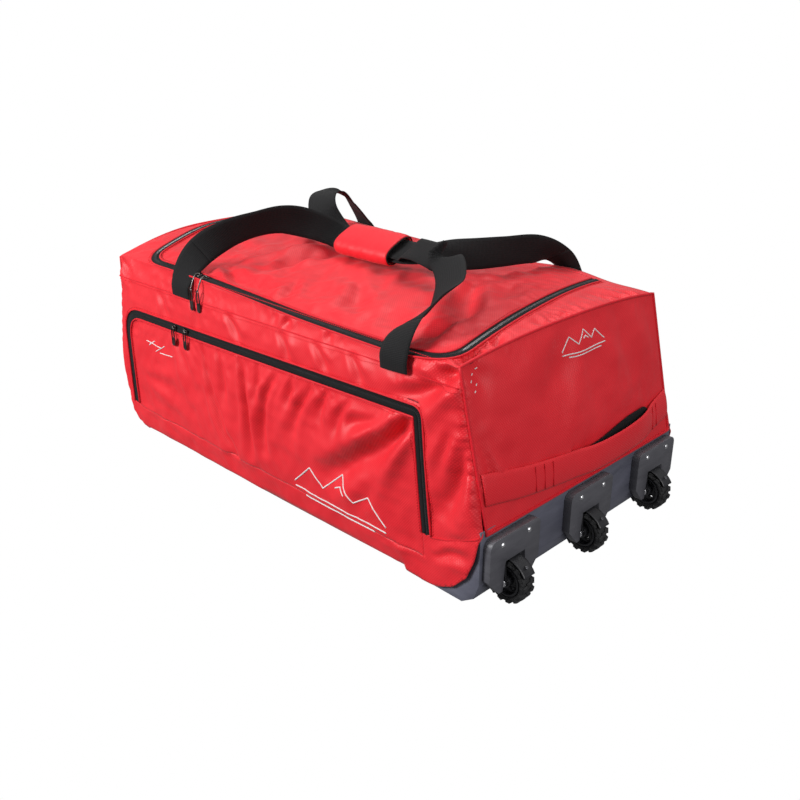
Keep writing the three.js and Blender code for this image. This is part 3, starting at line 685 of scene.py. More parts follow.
def thicken(obj, thickness=1.6):
    """Smooths a sheet and gives it a lining on its inner side."""
    obj.data.materials.append(LINING)
    smooth = obj.modifiers.new("smooth", "SUBSURF")
    smooth.levels = smooth.render_levels = 1
    smooth.boundary_smooth = "PRESERVE_CORNERS"
    wall = obj.modifiers.new("wall", "SOLIDIFY")
    wall.thickness = thickness * MM
    wall.offset = -1
    wall.material_offset = 1
    settle(obj)
    obj.data.polygons.foreach_set("use_smooth", [True] * len(obj.data.polygons))
    return obj


def face_out(obj, direction):
    """Turns every face so that the sheet's outer side looks along `direction`."""
    total = sum((p.normal * p.area for p in obj.data.polygons), Vector())
    if total.dot(Vector(direction)) < 0:
        obj.data.flip_normals()
    return obj


# The bag's sheets ----------------------------------------------------------------------------


def tuck_in(away):
    """How far a panel turns in towards an edge that is `away` from each point."""
    t = np.clip(away / CORNER, 0, 1)
    return CORNER * (1 - np.sqrt(1 - (1 - t) ** 2))


def side_depth(flat, top_y):
    """How far out from the middle a point of the front or back panel lies."""
    x, z = flat.T
    low, end = side_edges(top_y)
    tuck = np.maximum(tuck_in(distance(flat, low)), tuck_in(distance(flat, end)))
    top = top_height(x, top_y)
    shoulder = (SIDE_Y - abs(top_y)) * smoothstep((z - 284) / (top - 284)) ** 1.4
    belly = 5 * np.sin(np.pi * np.clip((z - 10) / 290, 0, 1)) * np.cos(np.pi * x / 960)
    over_tray = 5 * smoothstep(1 - distance(flat, OVER_TRAY[1:]) / 70) * smoothstep((x - 330) / 40)
    return SIDE_Y + belly + over_tray - np.maximum(tuck, shoulder)


def front_lift(flat):
    return np.column_stack([flat[:, 0], -side_depth(flat, FRONT_TOP_Y), flat[:, 1]])


def back_lift(flat):
    return np.column_stack([flat[:, 0], side_depth(flat, EDGE_Y), flat[:, 1]])


def top_lift(flat):
    return np.column_stack([flat, top_height(flat[:, 0], flat[:, 1])])


def end_lift(flat):
    y, z = flat.T
    top = top_height(TOP_RIGHT_X, y)
    up = np.clip((z - END_FOOT[1]) / (top - END_FOOT[1]), 0, 1)
    bulge = 13 * np.sin(np.pi * up ** 0.8) * (1 - np.abs(y / EDGE_Y) ** 3)
    return np.column_stack([end_x(z, top) + bulge, y, z])


def far_lift(flat):
    y, v = flat.T
    turn = np.clip((FOOT_RADIUS - v) / FOOT_RADIUS, 0, math.pi / 2)
    top = top_height(FAR_X, y)
    bulge = 7 * np.sin(np.pi * np.clip(v / top, 0, 1)) * (1 - np.abs(y / EDGE_Y) ** 4)
    z = np.where(v > FOOT_RADIUS, v, FOOT_RADIUS * (1 - np.sin(turn)))
    x = FAR_X + FOOT_RADIUS * (1 - np.cos(turn)) - bulge + far_pull(y, z)
    return np.column_stack([x, y, z])


SEAM = [(-432, 298), (-357, 300), (-48, 305), (262, 311), (396, 312)]
HEM = [(358, 84), (386, 92), (416, 106), (444, 119)]
ZIP_OUT = pocket_line(TAPE, POCKET["end_left"], POCKET["end_right"])
ZIP_IN = pocket_line(-TAPE, POCKET["bottom"])
STRAP_FEET = [((-216, 316), 24), ((288, 321), 24)]

# Folds of each panel, in the panel's own flat millimetres
POCKET_FOLDS = [
    ((-166, 222), (-88, 40), 9, 6, -8), ((-60, 232), (-42, 66), 8, 8, 6),
    ((30, 226), (-4, 92), 9, 8, -16), ((112, 228), (66, 134), 9, 6.5, -8),
    ((198, 234), (174, 176), 8, 6, -9), ((322, 252), (148, 102), 15, 16, 10),
    ((306, 236), (216, 92), 12, 7, 4), ((-250, 226), (-196, 120), 11, 3.5, 6),
    ((-350, 120), (-210, 108), 14, 3, 6), ((250, 225), (196, 206), 8, 5, 2),
    ((-120, 228), (-104, 150), 8, 5, 3), ((-14, 236), (-20, 160), 7, 5, 2),
    ((72, 236), (60, 180), 7, 5, -2), ((150, 236), (132, 190), 7, 5, -3),
]
FRAME_FOLDS = [
    ((402, 345), (296, 264), 13, 12, 4), ((410, 226), (366, 116), 16, 11, 6),
    ((384, 240), (352, 156), 11, 7, 5), ((420, 262), (440, 224), 8, 7, 2),
    ((345, 328), (398, 336), 9, 7, -3), ((268, 46), (344, 78), 7, 5, -4),
    ((20, 342), (30, 326), 6, 5, 0), ((50, 336), (54, 312), 7, 6, 1),
    ((142, 334), (150, 311), 6, 5, 1), ((-96, 300), (-60, 262), 8, 5, 4),
    ((40, 302), (64, 262), 8, 5, 5), ((118, 304), (150, 266), 8, 5, 5),
    ((196, 306), (222, 270), 8, 5.5, 5), ((-190, 298), (-176, 256), 8, 4, 3),
    ((-300, 298), (-272, 250), 9, 4, 5), ((-428, 330), (-384, 290), 9, 5, 3),
    ((-436, 150), (-424, 70), 9, 4, 4), ((372, 60), (430, 84), 8, 5, 4),
]


def front_folds(flat):
    pocket = inside(flat, ZIP_IN)
    return (np.where(pocket, creases(flat, POCKET_FOLDS), creases(flat, FRAME_FOLDS))
            + gathers(flat, ZIP_IN[1:-1], 31, 34, 2.6, -1) * pocket
            + gathers(flat, SEAM, 26, 22, 1.9) * ~pocket
            + gathers(flat, [(-388, 340), (-193, 341), (78, 331), (372, 342)], 23, 20, 1.8) * ~pocket
            + gathers(flat, [(392, 330), END_FOOT], 30, 26, 2.4))


def lid_folds(flat):
    return (creases(flat, [((-186, -126), (-138, 46), 15, 8, 14), ((-168, -176), (-70, -196), 13, 7, -6),
                           ((-104, -128), (-88, 16), 18, 6, 10), ((208, 14), (304, -104), 19, 9, -10),
                           ((286, -124), (288, -196), 12, 7, 5), ((60, -92), (124, -166), 15, 5, 6),
                           ((-20, -150), (10, -214), 10, 4.5, 4), ((-280, -120), (-330, 40), 20, 5, 10),
                           ((120, 60), (240, 130), 22, 5, 8), ((-60, 110), (60, 160), 22, 5, -8)])
            + gathers(flat, lid_line(-TAPE), 27, 24, 2.0))


def frame_folds(flat):
    seam = [(TOP_RIGHT_X, -232), (TOP_RIGHT_X, 232)]
    return (creases(flat, [((392, -222), (372, -170), 12, 9, 3), ((392, -150), (366, -128), 8, 5, 2)])
            + gathers(flat, seam, 31, 30, 8) + gathers(flat, [(FAR_X, -232), (FAR_X, 232)], 33, 24, 2.4))


def wheel_end_folds(flat):
    seam = [(y, float(top_height(TOP_RIGHT_X, y))) for y in (-228, -120, 0, 120, 228)]
    return (creases(flat, [((-14, 322), (-100, 244), 30, 5.5, 6), ((-214, 340), (-190, 300), 14, 5, 3),
                           ((120, 320), (150, 226), 28, 4, -8), ((-212, 226), (-204, 150), 9, 4.5, 3),
                           ((-40, 176), (-46, 132), 7, 4.5, 2)])
            + gathers(flat, seam, 29, 16, 1.8) + gathers(flat, [(-228, 340), (-228, 124)], 34, 20, 2.2))


front, front_flat = sheet(
    "front_whole", side_outline(FRONT_TOP_Y), front_lift, [SEAM, HEM, ZIP_OUT, ZIP_IN],
    [[ZIP_IN[0], ZIP_IN[-1]], [(-422, 52), (-406, 52)], [(358, 86), (343, 86)]],
    pins=STRAP_FEET, seed=4, ease=(0.024, 0.006), hold=0.06, swell=1.8, folds=front_folds)


def on_tape(centres):
    """Where the pocket's zip tapes take the place of the cloth."""
    zipped = (centres[:, 1] > POCKET["end_right"]) | (centres[:, 0] < 0)
    return inside(centres, pocket_line(TAPE, POCKET["end_left"])) & zipped


front_shell = keep_faces(front, "front_shell", lambda c: ~inside(c, ZIP_IN) & ~on_tape(c), front_flat)
pocket_front = keep_faces(front, "pocket_sheet", lambda c: inside(c, ZIP_IN), front_flat)
bpy.data.objects.remove(front)

back_shell, _ = sheet("back_shell", side_outline(EDGE_Y), back_lift, [[(-446, 290), (397, 300)]],
                      seed=11, ease=(0.022, 0.008), hold=0.05)
end_loop = ([(-EDGE_Y, END_FOOT[1]), (EDGE_Y, END_FOOT[1])]
            + [(y, float(top_height(TOP_RIGHT_X, y))) for y in np.arange(EDGE_Y, -EDGE_Y - 1, -12)])
wheel_end, _ = sheet("wheel_end_sheet", end_loop, end_lift, seed=21, ease=(0.014, 0.004),
                     hold=0.06, swell=1.4, stiff=9, folds=wheel_end_folds)
far_loop = ([(-EDGE_Y, FOOT_RADIUS * (1 - math.pi / 2)), (EDGE_Y, FOOT_RADIUS * (1 - math.pi / 2))]
            + [(y, float(top_height(FAR_X, y))) for y in np.arange(EDGE_Y, -EDGE_Y - 1, -12)])
far_end, _ = sheet("far_end_sheet", far_loop, far_lift, seed=31, ease=(0.016, 0.006),
                   hold=0.06, swell=2, stiff=7)

outer_lid = lid_line(TAPE)
half = sum(x < 0 for x, _ in outer_lid)
FAR_TOP_Z = 345
far_top = [(FAR_X + float(far_pull(y, FAR_TOP_Z)), float(y)) for y in np.linspace(EDGE_Y, -EDGE_Y, 20)]
frame_loop = (far_top + [(far_top[-1][0] + 5, FRONT_TOP_Y)] + outer_lid[half - 1::-1]
              + outer_lid[:half - 1:-1]
              + [(TOP_RIGHT_X, FRONT_TOP_Y), (TOP_RIGHT_X, EDGE_Y)])
top_frame, _ = sheet("top_sheet", frame_loop, top_lift, seed=41, ease=(0.02, 0.03), hold=0.04,
                     swell=2, folds=frame_folds)
lid, _ = sheet("lid_sheet", lid_line(-TAPE), top_lift, seed=51, ease=(0.014, 0.012), hold=0.015,
               swell=3, stiff=10, broad=0.3, folds=lid_folds)

xs = np.linspace(FAR_X + FOOT_RADIUS, TRAY_FRONT_X, 12)
under_loop = [(x, -EDGE_Y) for x in xs] + [(x, EDGE_Y) for x in xs[::-1]]


def under_lift(flat):
    z = np.interp(flat[:, 0], [-397, -100, 150, TRAY_FRONT_X], [0.6, 1.2, 4, 8])
    return np.column_stack([flat, z])


bottom, _ = sheet("bottom_sheet", under_loop, under_lift, seed=61, ease=None, swell=0.3)

PANELS = [
    (front_shell, (0, -1, 0), "bag_body", "front_panel"),
    (pocket_front, (0, -1, 0), None, "pocket_flap"),
    (back_shell, (0, 1, 0), "bag_body", "back_panel"),
    (wheel_end, (1, 0, 0), "bag_body", "wheel_end_panel"),
    (far_end, (-1, 0, 0), "bag_body", "far_end_panel"),
    (top_frame, (0, 0, 1), "bag_body", "top_frame"),
    (lid, (0, 0, 1), None, "lid_panel"),
    (bottom, (0, 0, -1), "bag_body", "bottom_panel"),
]
for obj, way, body, panel in PANELS:
    belongs(thicken(face_out(obj, way)), body, "red_polyester", panel)


def bend_lid(obj):
    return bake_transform(obj)


def bend_pocket(obj):
    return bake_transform(obj)


bend_lid(lid)
bend_pocket(pocket_front)

# Strips, tubes and blocks --------------------------------------------------------------------


def even(line, count):
    """`count` points spread evenly along a line."""
    line = np.array(line, float)
    steps = np.linalg.norm(np.diff(line, axis=0), axis=1)
    along = np.concatenate([[0], np.cumsum(steps)])
    at = np.linspace(0, along[-1], count)
    return np.column_stack([np.interp(at, along, line[:, k]) for k in range(line.shape[1])])


def strip(name, left, right, thickness, mat, columns=6, crown=0.0, lift=0.0):
    """A flat band between two edge lines of equal length, with rounded edges."""
    left, right = np.array(left, float), np.array(right, float)
    middle = (left + right) / 2
    along = np.gradient(middle, axis=0)
    normal = np.cross(along, right - left)
    normal /= np.linalg.norm(normal, axis=1)[:, None].clip(1e-9)
    widths = np.linalg.norm(right - left, axis=1)
    travel = np.concatenate([[0], np.cumsum(np.linalg.norm(np.diff(middle, axis=0), axis=1))])
    shares = np.linspace(0, 1, columns + 1)
    profile = []
    for face, row in ((thickness / 2, shares), (-thickness / 2, shares[::-1])):
        profile += [(s, crown * math.sin(math.pi * s) + face * (0.35 if s in (0, 1) else 1)) for s in row]
    size = len(profile)
    points, uvs, faces = [], [], []
    for i in range(len(left)):
        for s, h in profile:
            points.append(left[i] + (right[i] - left[i]) * s + normal[i] * (h + lift))
            uvs.append((s * widths[i], travel[i]))
    for i in range(len(left) - 1):
        for k in range(size):
            nxt = (k + 1) % size
            faces.append((i * size + k, i * size + nxt, (i + 1) * size + nxt, (i + 1) * size + k))
    last = (len(left) - 1) * size
    faces.append(tuple(range(size))[::-1])
    faces.append(tuple(last + k for k in range(size)))
    obj = mesh_object(name, points, faces, mat)
    set_uv(obj, np.array(uvs))
    out_facing(obj)
    return obj


def out_facing(obj):
    work = bmesh.new()
    work.from_mesh(obj.data)
    bmesh.ops.recalc_face_normals(work, faces=work.faces)
    work.to_mesh(obj.data)
    work.free()


def tube(name, line, radius, mat, sides=8, closed=False):
    """A round tube along a line."""
    line = np.array(line, float)
    along = np.gradient(line, axis=0)
    if closed:
        along = np.roll(line, -1, axis=0) - np.roll(line, 1, axis=0)
    along /= np.linalg.norm(along, axis=1)[:, None].clip(1e-9)
    side = np.cross(along[0], (0, 0, 1) if abs(along[0][2]) < 0.9 else (1, 0, 0))
    points, uvs, travel = [], [], 0.0
    for i, centre in enumerate(line):
        side = side - along[i] * (side @ along[i])
        side /= np.linalg.norm(side)
        up = np.cross(along[i], side)
        travel += np.linalg.norm(centre - line[i - 1]) if i else 0
        for k in range(sides):
            a = 2 * math.pi * k / sides
            points.append(centre + radius * (side * math.cos(a) + up * math.sin(a)))
            uvs.append((radius * a, travel))
    faces = []
    rings = len(line)
    for i in range(rings if closed else rings - 1):
        for k in range(sides):
            nxt, ring = (k + 1) % sides, (i + 1) % rings
            faces.append((i * sides + k, i * sides + nxt, ring * sides + nxt, ring * sides + k))
    if not closed:
        faces.append(tuple(range(sides))[::-1])
        faces.append(tuple((rings - 1) * sides + k for k in range(sides)))
    obj = mesh_object(name, points, faces, mat)
    set_uv(obj, np.array(uvs))
    out_facing(obj)
    return obj


def blocks(name, places, size, mat):
    """Many small rounded blocks. A place is a centre, a direction along and an outward one."""
    points, faces, uvs = [], [], []
    corners = [(-1, -1), (1, -1), (1, 1), (-1, 1)]
    for centre, along, out in places:
        along = along / np.linalg.norm(along)
        out = out - along * (out @ along)
        out /= np.linalg.norm(out)
        across = np.cross(along, out)
        base = len(points)
        for height, shrink in ((-1, 1), (0.4, 1), (1, 0.6)):
            for a, b in corners:
                points.append(centre + along * (a * size[0] / 2 * shrink)
                              + across * (b * size[1] / 2 * shrink) + out * (height * size[2] / 2))
                uvs.append((a * size[0], b * size[1]))
        faces.append((base + 3, base + 2, base + 1, base))
        for ring in (0, 4):
            for k in range(4):
                nxt = (k + 1) % 4
                faces.append((base + ring + k, base + ring + nxt, base + ring + 4 + nxt,
                              base + ring + 4 + k))
        faces.append((base + 8, base + 9, base + 10, base + 11))
    obj = mesh_object(name, points, faces, mat, smooth=False)
    set_uv(obj, np.array(uvs))
    return obj


# Lining over the wheel tray, inside the bag
LINING_ROUTE = [(340, 12), (372, 20), (397, 32), (419, 55), (431, 88), (439, 128)]
lining_sides = [np.array([(x, side * (EDGE_Y - 2), z) for x, z in resample(LINING_ROUTE, 12)])
                for side in (-1, 1)]
belongs(strip("tray_lining", *lining_sides, 1.2, LINING, 12), "bag_body", "lining")

# Zips ----------------------------------------------------------------------------------------

TEETH_PITCH = 2.6
TOOTH = (1.5, 3.4, 1.7)
TAPE_POINTS = 160


def zip_half(name, line_at, lift, side, body, node_name, shift=0.0):
    """One tape of a zip, with its row of teeth. side is 1 outside the zip line and -1 inside it."""
    outer, inner = (lift(even(line_at(side * grow), TAPE_POINTS)) for grow in (TAPE, 0.3))
    tape = strip(f"{name}_tape", outer, inner, 1.2, ZIP_CLOTH_AND_SLOT_SHADE, 5, 0.8, 0.3 * side)
    length = np.linalg.norm(np.diff(inner, axis=0), axis=1).sum()
    number = int(length / TEETH_PITCH)
    at = even(inner, number)
    along = np.gradient(at, axis=0)
    away = at - even(outer, number)
    normal = np.cross(along, away)
    normal *= side / np.linalg.norm(normal, axis=1)[:, None]
    away /= np.linalg.norm(away, axis=1)[:, None]
    places = []
    for i in range(number):
        slide = along[i] / np.linalg.norm(along[i]) * shift * TEETH_PITCH
        places.append((at[i] - away[i] * 0.7 + normal[i] * 0.9 + slide, along[i], normal[i]))
    teeth = blocks(f"{name}_teeth", places, TOOTH, COIL)
    belongs(tape, body, "zip_tape", node_name)
    belongs(teeth, body, "zip_tape")
    return [tape, teeth]


LID_ZIP_BACK = HINGE_Y - 6


def lid_at(grow):
    return lid_line(grow, LID_ZIP_BACK)


def pocket_at(grow):
    return pocket_line(grow, POCKET["end_left"], POCKET["end_right"])


zip_half("lid_zip_body", lid_at, top_lift, 1, "bag_body", "lid_zip_body_tape")
for piece in zip_half("lid_zip_lid", lid_at, top_lift, -1, None, "lid_zip_lid_tape", 0.5):
    bend_lid(piece)
zip_half("pocket_zip_body", pocket_at, front_lift, 1, "bag_body", "pocket_zip_body_tape")
for piece in zip_half("pocket_zip_front", pocket_at, front_lift, -1, None, "pocket_zip_flap_tape", 0.5):
    bend_pocket(piece)


def hem(name, flat_line, lift, radius=1.5, away=(0, 0, 0.8)):
    """A rolled edge beside a zip or along a seam."""
    return tube(name, lift(np.array(resample(flat_line, 6))) + np.array(away), radius, RED_HEM)


HEM_GAP = TAPE + 0.8             # of a hem from its zip line
POCKET_AWAY = (0, -0.8, 0)
sewn_on(hem("lid_frame_hem", lid_at(HEM_GAP), top_lift))
bend_lid(sewn_on(hem("lid_hem", lid_at(-HEM_GAP), top_lift), None))
sewn_on(hem("pocket_body_hem", pocket_at(HEM_GAP), front_lift, away=POCKET_AWAY))
bend_pocket(sewn_on(hem("pocket_hem", pocket_at(-HEM_GAP), front_lift, away=POCKET_AWAY), None))

# Piping round the two ends, and the sewn seams of the front
end_ring = end_lift(resample(end_loop, 8, True))
sewn_on(tube("wheel_end_piping", end_ring, 2.4, RED_HEM, closed=True))
far_ring = far_lift(resample(far_loop[1:] + far_loop[:1], 8))
sewn_on(tube("far_end_piping", far_ring, 2.2, RED_HEM))
sewn_on(hem("front_seam", SEAM, front_lift, 1.1, (0, 0.2, 0)))
sewn_on(hem("tray_hem", HEM, front_lift, 1.3, (0, 0, 0)))

# Sliders and pulls ---------------------------------------------------------------------------

SHARP_ANGLE = math.radians(35)   # edges sharper than this are rounded


def rounded(obj, radius, segments=2):
    """Rounds an object's sharp edges and keeps its flat faces flat."""
    work = bmesh.new()
    work.from_mesh(obj.data)
    bmesh.ops.remove_doubles(work, verts=work.verts, dist=0.00001)
    bmesh.ops.dissolve_limit(work, angle_limit=math.radians(1), verts=work.verts, edges=work.edges)
    work.to_mesh(obj.data)
    work.free()
    bevel = obj.modifiers.new("bevel", "BEVEL")
    bevel.width = radius * MM
    bevel.segments = segments
    bevel.limit_method = "ANGLE"
    bevel.angle_limit = SHARP_ANGLE
    bevel.harden_normals = True
    settle(obj)
    obj.data.polygons.foreach_set("use_smooth", [True] * len(obj.data.polygons))
    return obj


def prism(name, outline, height, mat, place_at):
    """A flat outline raised to `height`; place_at turns (a, b, height) into X, Y, Z."""
    count = len(outline)
    points = [place_at(a, b, 0) for a, b in outline] + [place_at(a, b, height) for a, b in outline]
    faces = [tuple(range(count))[::-1], tuple(range(count, 2 * count))]
    faces += [(k, (k + 1) % count, count + (k + 1) % count, count + k) for k in range(count)]
    obj = mesh_object(name, points, faces, mat)
    out_facing(obj)
    return obj


def joined(name, parts):
    """One object made of several."""
    with bpy.context.temp_override(active_object=parts[0], selected_editable_objects=parts):
        bpy.ops.object.join()
    parts[0].name = parts[0].data.name = name
    return parts[0]


def slider(name, at, out, side, body):
    """A zip slider: a waisted body and a bridge over it."""
    nose = 6.5 if side == "left" else -6.5
    out = np.array(out, float) / np.linalg.norm(out)
    along = np.array((1.0, 0, 0))
    across = np.cross(along, out)

    def place_at(a, b, height):
        return at + along * a + across * b + out * (height + 0.6)

    plan = [(-nose, -3.4), (0, -3.8), (nose * 0.5, -5.4), (nose, -4.2), (nose, 4.2),
            (nose * 0.5, 5.4), (0, 3.8), (-nose, 3.4)]
    shell = rounded(prism(name, plan, 3.2, ZIP_METAL, place_at), 0.7)
    bridge = tube(name + "_bridge", [place_at(5.2 * math.cos(a), 0, 3 + 2.6 * math.sin(a))
                                     for a in np.linspace(0, math.pi, 12)], 0.9, ZIP_METAL)
    return belongs(joined(name, [shell, bridge]), body, "zip_metal", name)


def pull(name, top, body, length=33):
    """A flat open pull hanging from `top`: a rounded loop with a solid grip at its end."""
    x, y, z = top
    half = 3.4
    loop = [(x - half * 0.7, y, z + 1.5), (x - half, y, z - length * 0.5)]
    loop += [(x - half * math.cos(a), y, z - length + half - half * math.sin(a))
             for a in np.linspace(0, math.pi, 9)]
    loop += [(x + half, y, z - length * 0.5), (x + half * 0.7, y, z + 1.5)]
    ring = tube(name, resample(loop, 3, True), 1.15, ZIP_METAL, closed=True)

    def place_at(a, b, height):
        return (x + a, y + 0.9 - height, z + b)

    grip = [(-half - 0.6, -length * 0.55), (half + 0.6, -length * 0.55), (half + 1.2, -length * 0.8)]
    grip += [((half + 1.2) * math.cos(a), -length + half + (half + 1.2) * -math.sin(a))
             for a in np.linspace(0, math.pi, 9)]
    grip += [(-half - 1.2, -length * 0.8)]
    tab = rounded(prism(name + "_tab", grip, 1.8, ZIP_METAL, place_at), 0.5)
    return belongs(joined(name, [ring, tab]), body, "zip_metal", name)


LID_OUT = (0, -0.25, 1)
for side, x in (("left", -186.0), ("right", -166.0)):
    at = top_lift(np.array([[x, -SHOULDER_Y]]))[0]
    slider(f"lid_slider_{side}", at, LID_OUT, side, f"lid_slider_{side}")
    arm = [(x, at[1] - 2, at[2] + 5), (x, at[1] - 8, at[2] + 4), (x, -236, 333), (x, -240.6, 322)]
    link = tube(f"lid_link_{side}", resample(arm, 3), 1.2, ZIP_METAL)
    belongs(link, f"lid_slider_{side}", "zip_metal")
    pull(f"lid_pull_{side}", (x, -240.8, 321), f"lid_pull_{side}", 34)
for side, x in (("left", -247.0), ("right", -211.0)):
    slope = (POCKET["top_right"] - POCKET["top_left"]) / (POCKET["right_top"] - POCKET["left"])
    z = POCKET["top_left"] + slope * (x - POCKET["left"])
    at = front_lift(np.array([[x, z]]))[0]
    slider(f"pocket_slider_{side}", at, (0, -1, 0), side, f"pocket_slider_{side}")
    pull(f"pocket_pull_{side}", (x, at[1] - 5.6, z + 1), f"pocket_pull_{side}", 32)

# Carry handles -------------------------------------------------------------------------------

SEAM_Y = SIDE_Y + 3.2
GRIP = dict(x0=-72.0, x1=58.0, y=4.0, z=386.0, half_width=31.0, half_height=13.0)
GRIP_TILT = math.radians(24)
STRAP_SHIFT = 3.4
STRAP_WIDTH = 50.0


def in_grip(x, level):
    shift = level * STRAP_SHIFT
    return (x, GRIP["y"] - shift * math.sin(GRIP_TILT), GRIP["z"] + shift * math.cos(GRIP_TILT),
            0, -math.cos(GRIP_TILT), -math.sin(GRIP_TILT))


def along_grip(level):
    return [in_grip(x, level) for x in (-88, -72, -66, -8, 52, 58, 74)]


# A station is its place, then the direction across the strap.
FRONT_STRAP = [
    (-216, -SEAM_Y, 303, 1, 0, 0), (-216, -SEAM_Y, 322, 1, 0, 0),
    (-212, -231, 346, 0.9, 0.1, -0.35), (-200, -205, 378, 0.55, 0.25, -0.75),
    (-176, -167, 404, -0.05, 0.3, -0.95), (-150, -127, 418, -0.28, 0.29, -0.91),
    (-128, -86, 423, -0.2, 0.05, -0.95),
    (-110, -34, 408, 0, -0.8, -0.6), *along_grip(1), (100, -12, 400, 0.1, -0.9, -0.4),
    (150, -26, 404, 0.5, -0.75, -0.3), (207, -50, 406, 0.88, -0.1, 0.1),
    (262, -104, 392, 0.93, 0, 0.35), (287, -165, 380, 0.7, -0.2, 0.7),
    (288, -205, 368, 0.85, -0.2, 0.4), (286, -231, 346, 1, 0, 0.15),
    (288, -SEAM_Y, 327, 1, 0, 0), (289, -SEAM_Y, 309, 1, 0, 0),
]
REAR_STRAP = [
    (-268, SEAM_Y, 291, -1, 0, 0), (-268, SEAM_Y, 318, -1, 0, 0), (-266, 231, 346, -0.98, 0, 0.1),
    (-258, 205, 374, -0.93, 0, 0.3), (-240, 160, 412, -0.9, 0, 0.45),
    (-212, 95, 436, -0.8, -0.6, 0), (-176, 42, 438, -0.6, -0.7, -0.2),
    (-144, 16, 420, -0.3, -0.8, -0.4), (-112, 18, 390, 0, -0.9, -0.4), *along_grip(-1),
    (104, 24, 386, 0, -0.9, -0.4), (150, 66, 386, 0, -0.4, -0.9),
    (184, 112, 388, -0.1, -0.1, -1), (208, 160, 388, -0.3, -0.3, -0.9),
    (224, 205, 374, -0.9, -0.2, -0.4), (231, 231, 346, -1, 0, -0.1),
    (232, SEAM_Y, 320, -1, 0, 0), (232, SEAM_Y, 297, -1, 0, 0),
]
SHOULDER_STATION = 3
STRAP_STEPS = 10


def curve_point(points, t):
    """A centripetal Catmull-Rom curve through all the points, at t from 0 to 1."""
    last = len(points) - 1
    i = min(int(last * t), last - 1)
    w = last * t - i
    p1, p2 = points[i], points[i + 1]
    p0 = points[i - 1] if i > 0 else 2 * points[0] - points[1]
    p3 = points[i + 2] if i + 2 <= last else 2 * points[-1] - points[-2]
    d1 = max(np.linalg.norm(p2 - p1) ** 0.5, 1e-4)
    d0 = np.linalg.norm(p1 - p0) ** 0.5 or d1
    d2 = np.linalg.norm(p3 - p2) ** 0.5 or d1
    m1 = ((p1 - p0) / d0 - (p2 - p0) / (d0 + d1) + (p2 - p1) / d1) * d1
    m2 = ((p2 - p1) / d1 - (p3 - p1) / (d1 + d2) + (p3 - p2) / d2) * d1
    return p1 + w * m1 + w * w * (3 * (p2 - p1) - 2 * m1 - m2) + w ** 3 * (2 * (p1 - p2) + m1 + m2)


def strap_edges(stations, width, start, end, steps):
    """The two edge lines of a strap, between two shares of its route."""
    stations = np.array(stations, float)
    middle, across = stations[:, :3], stations[:, 3:]
    left, right = [], []
    for t in np.linspace(start, end, steps + 1):
        centre = curve_point(middle, t)
        ahead, behind = min(t + 1e-3, 1), max(t - 1e-3, 0)
        along = curve_point(middle, ahead) - curve_point(middle, behind)
        along /= np.linalg.norm(along)
        side = curve_point(across, t)
        side = side - along * (side @ along)
        side /= np.linalg.norm(side)
        left.append(centre - side * width / 2)
        right.append(centre + side * width / 2)
    return left, right


def carry_handle(name, stations, base_slot):
    last = len(stations) - 1
    cuts = [0, SHOULDER_STATION, last - SHOULDER_STATION, last]
    for part, a, b in zip(("left", "middle", "right"), cuts, cuts[1:]):
        left, right = strap_edges(stations, STRAP_WIDTH, a / last, b / last, (b - a) * STRAP_STEPS)
        obj = strip(f"{name}_strap_{part}", left, right, 2.6, BLACK, 8, 0.4)
        belongs(obj, None, base_slot, f"{name}_strap_{part}")
        if part == "middle":
            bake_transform(obj)
        else:
            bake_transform(obj)


carry_handle("front", FRONT_STRAP, "black_webbing")
carry_handle("rear", REAR_STRAP, "black_webbing")


def grip_section(x, swell, share_angle):
    """A point on the grip wrap's outside, tilted as the straps are."""
    half_w, half_h = GRIP["half_width"] * swell, GRIP["half_height"] * swell
    c, s = math.cos(share_angle), math.sin(share_angle)
    a = half_w * math.copysign(abs(c) ** 0.7, c)
    b = half_h * math.copysign(abs(s) ** 0.7, s)
    return (x, GRIP["y"] + a * math.cos(GRIP_TILT) - b * math.sin(GRIP_TILT),
            GRIP["z"] + a * math.sin(GRIP_TILT) + b * math.cos(GRIP_TILT))


def sleeve(name, x0, x1, rows, swell_at, mat, wall):
    around = 40
    points, faces, uvs = [], [], []
    for i in range(rows + 1):
        x = x0 + (x1 - x0) * i / rows
        for k in range(around):
            angle = 2 * math.pi * k / around
            points.append(grip_section(x, swell_at(i / rows, angle), angle))
            uvs.append((x, k * 3.8))
    for i in range(rows):
        for k in range(around):
            nxt = (k + 1) % around
            faces.append((i * around + k, (i + 1) * around + k, (i + 1) * around + nxt, i * around + nxt))
    obj = mesh_object(name, points, faces, mat)
    set_uv(obj, np.array(uvs))
    wall_mod = obj.modifiers.new("wall", "SOLIDIFY")
    wall_mod.thickness = wall * MM
    wall_mod.offset = -1
    settle(obj)
    out_facing(obj)
    return obj


def grip_swell(share, angle):
    ends = 1 - abs(2 * share - 1) ** 6
    fold = 0.012 * math.sin(share * 21 + 3 * math.sin(angle)) + 0.008 * math.sin(share * 47 + angle * 2)
    return 0.93 + 0.06 * ends + fold * ends


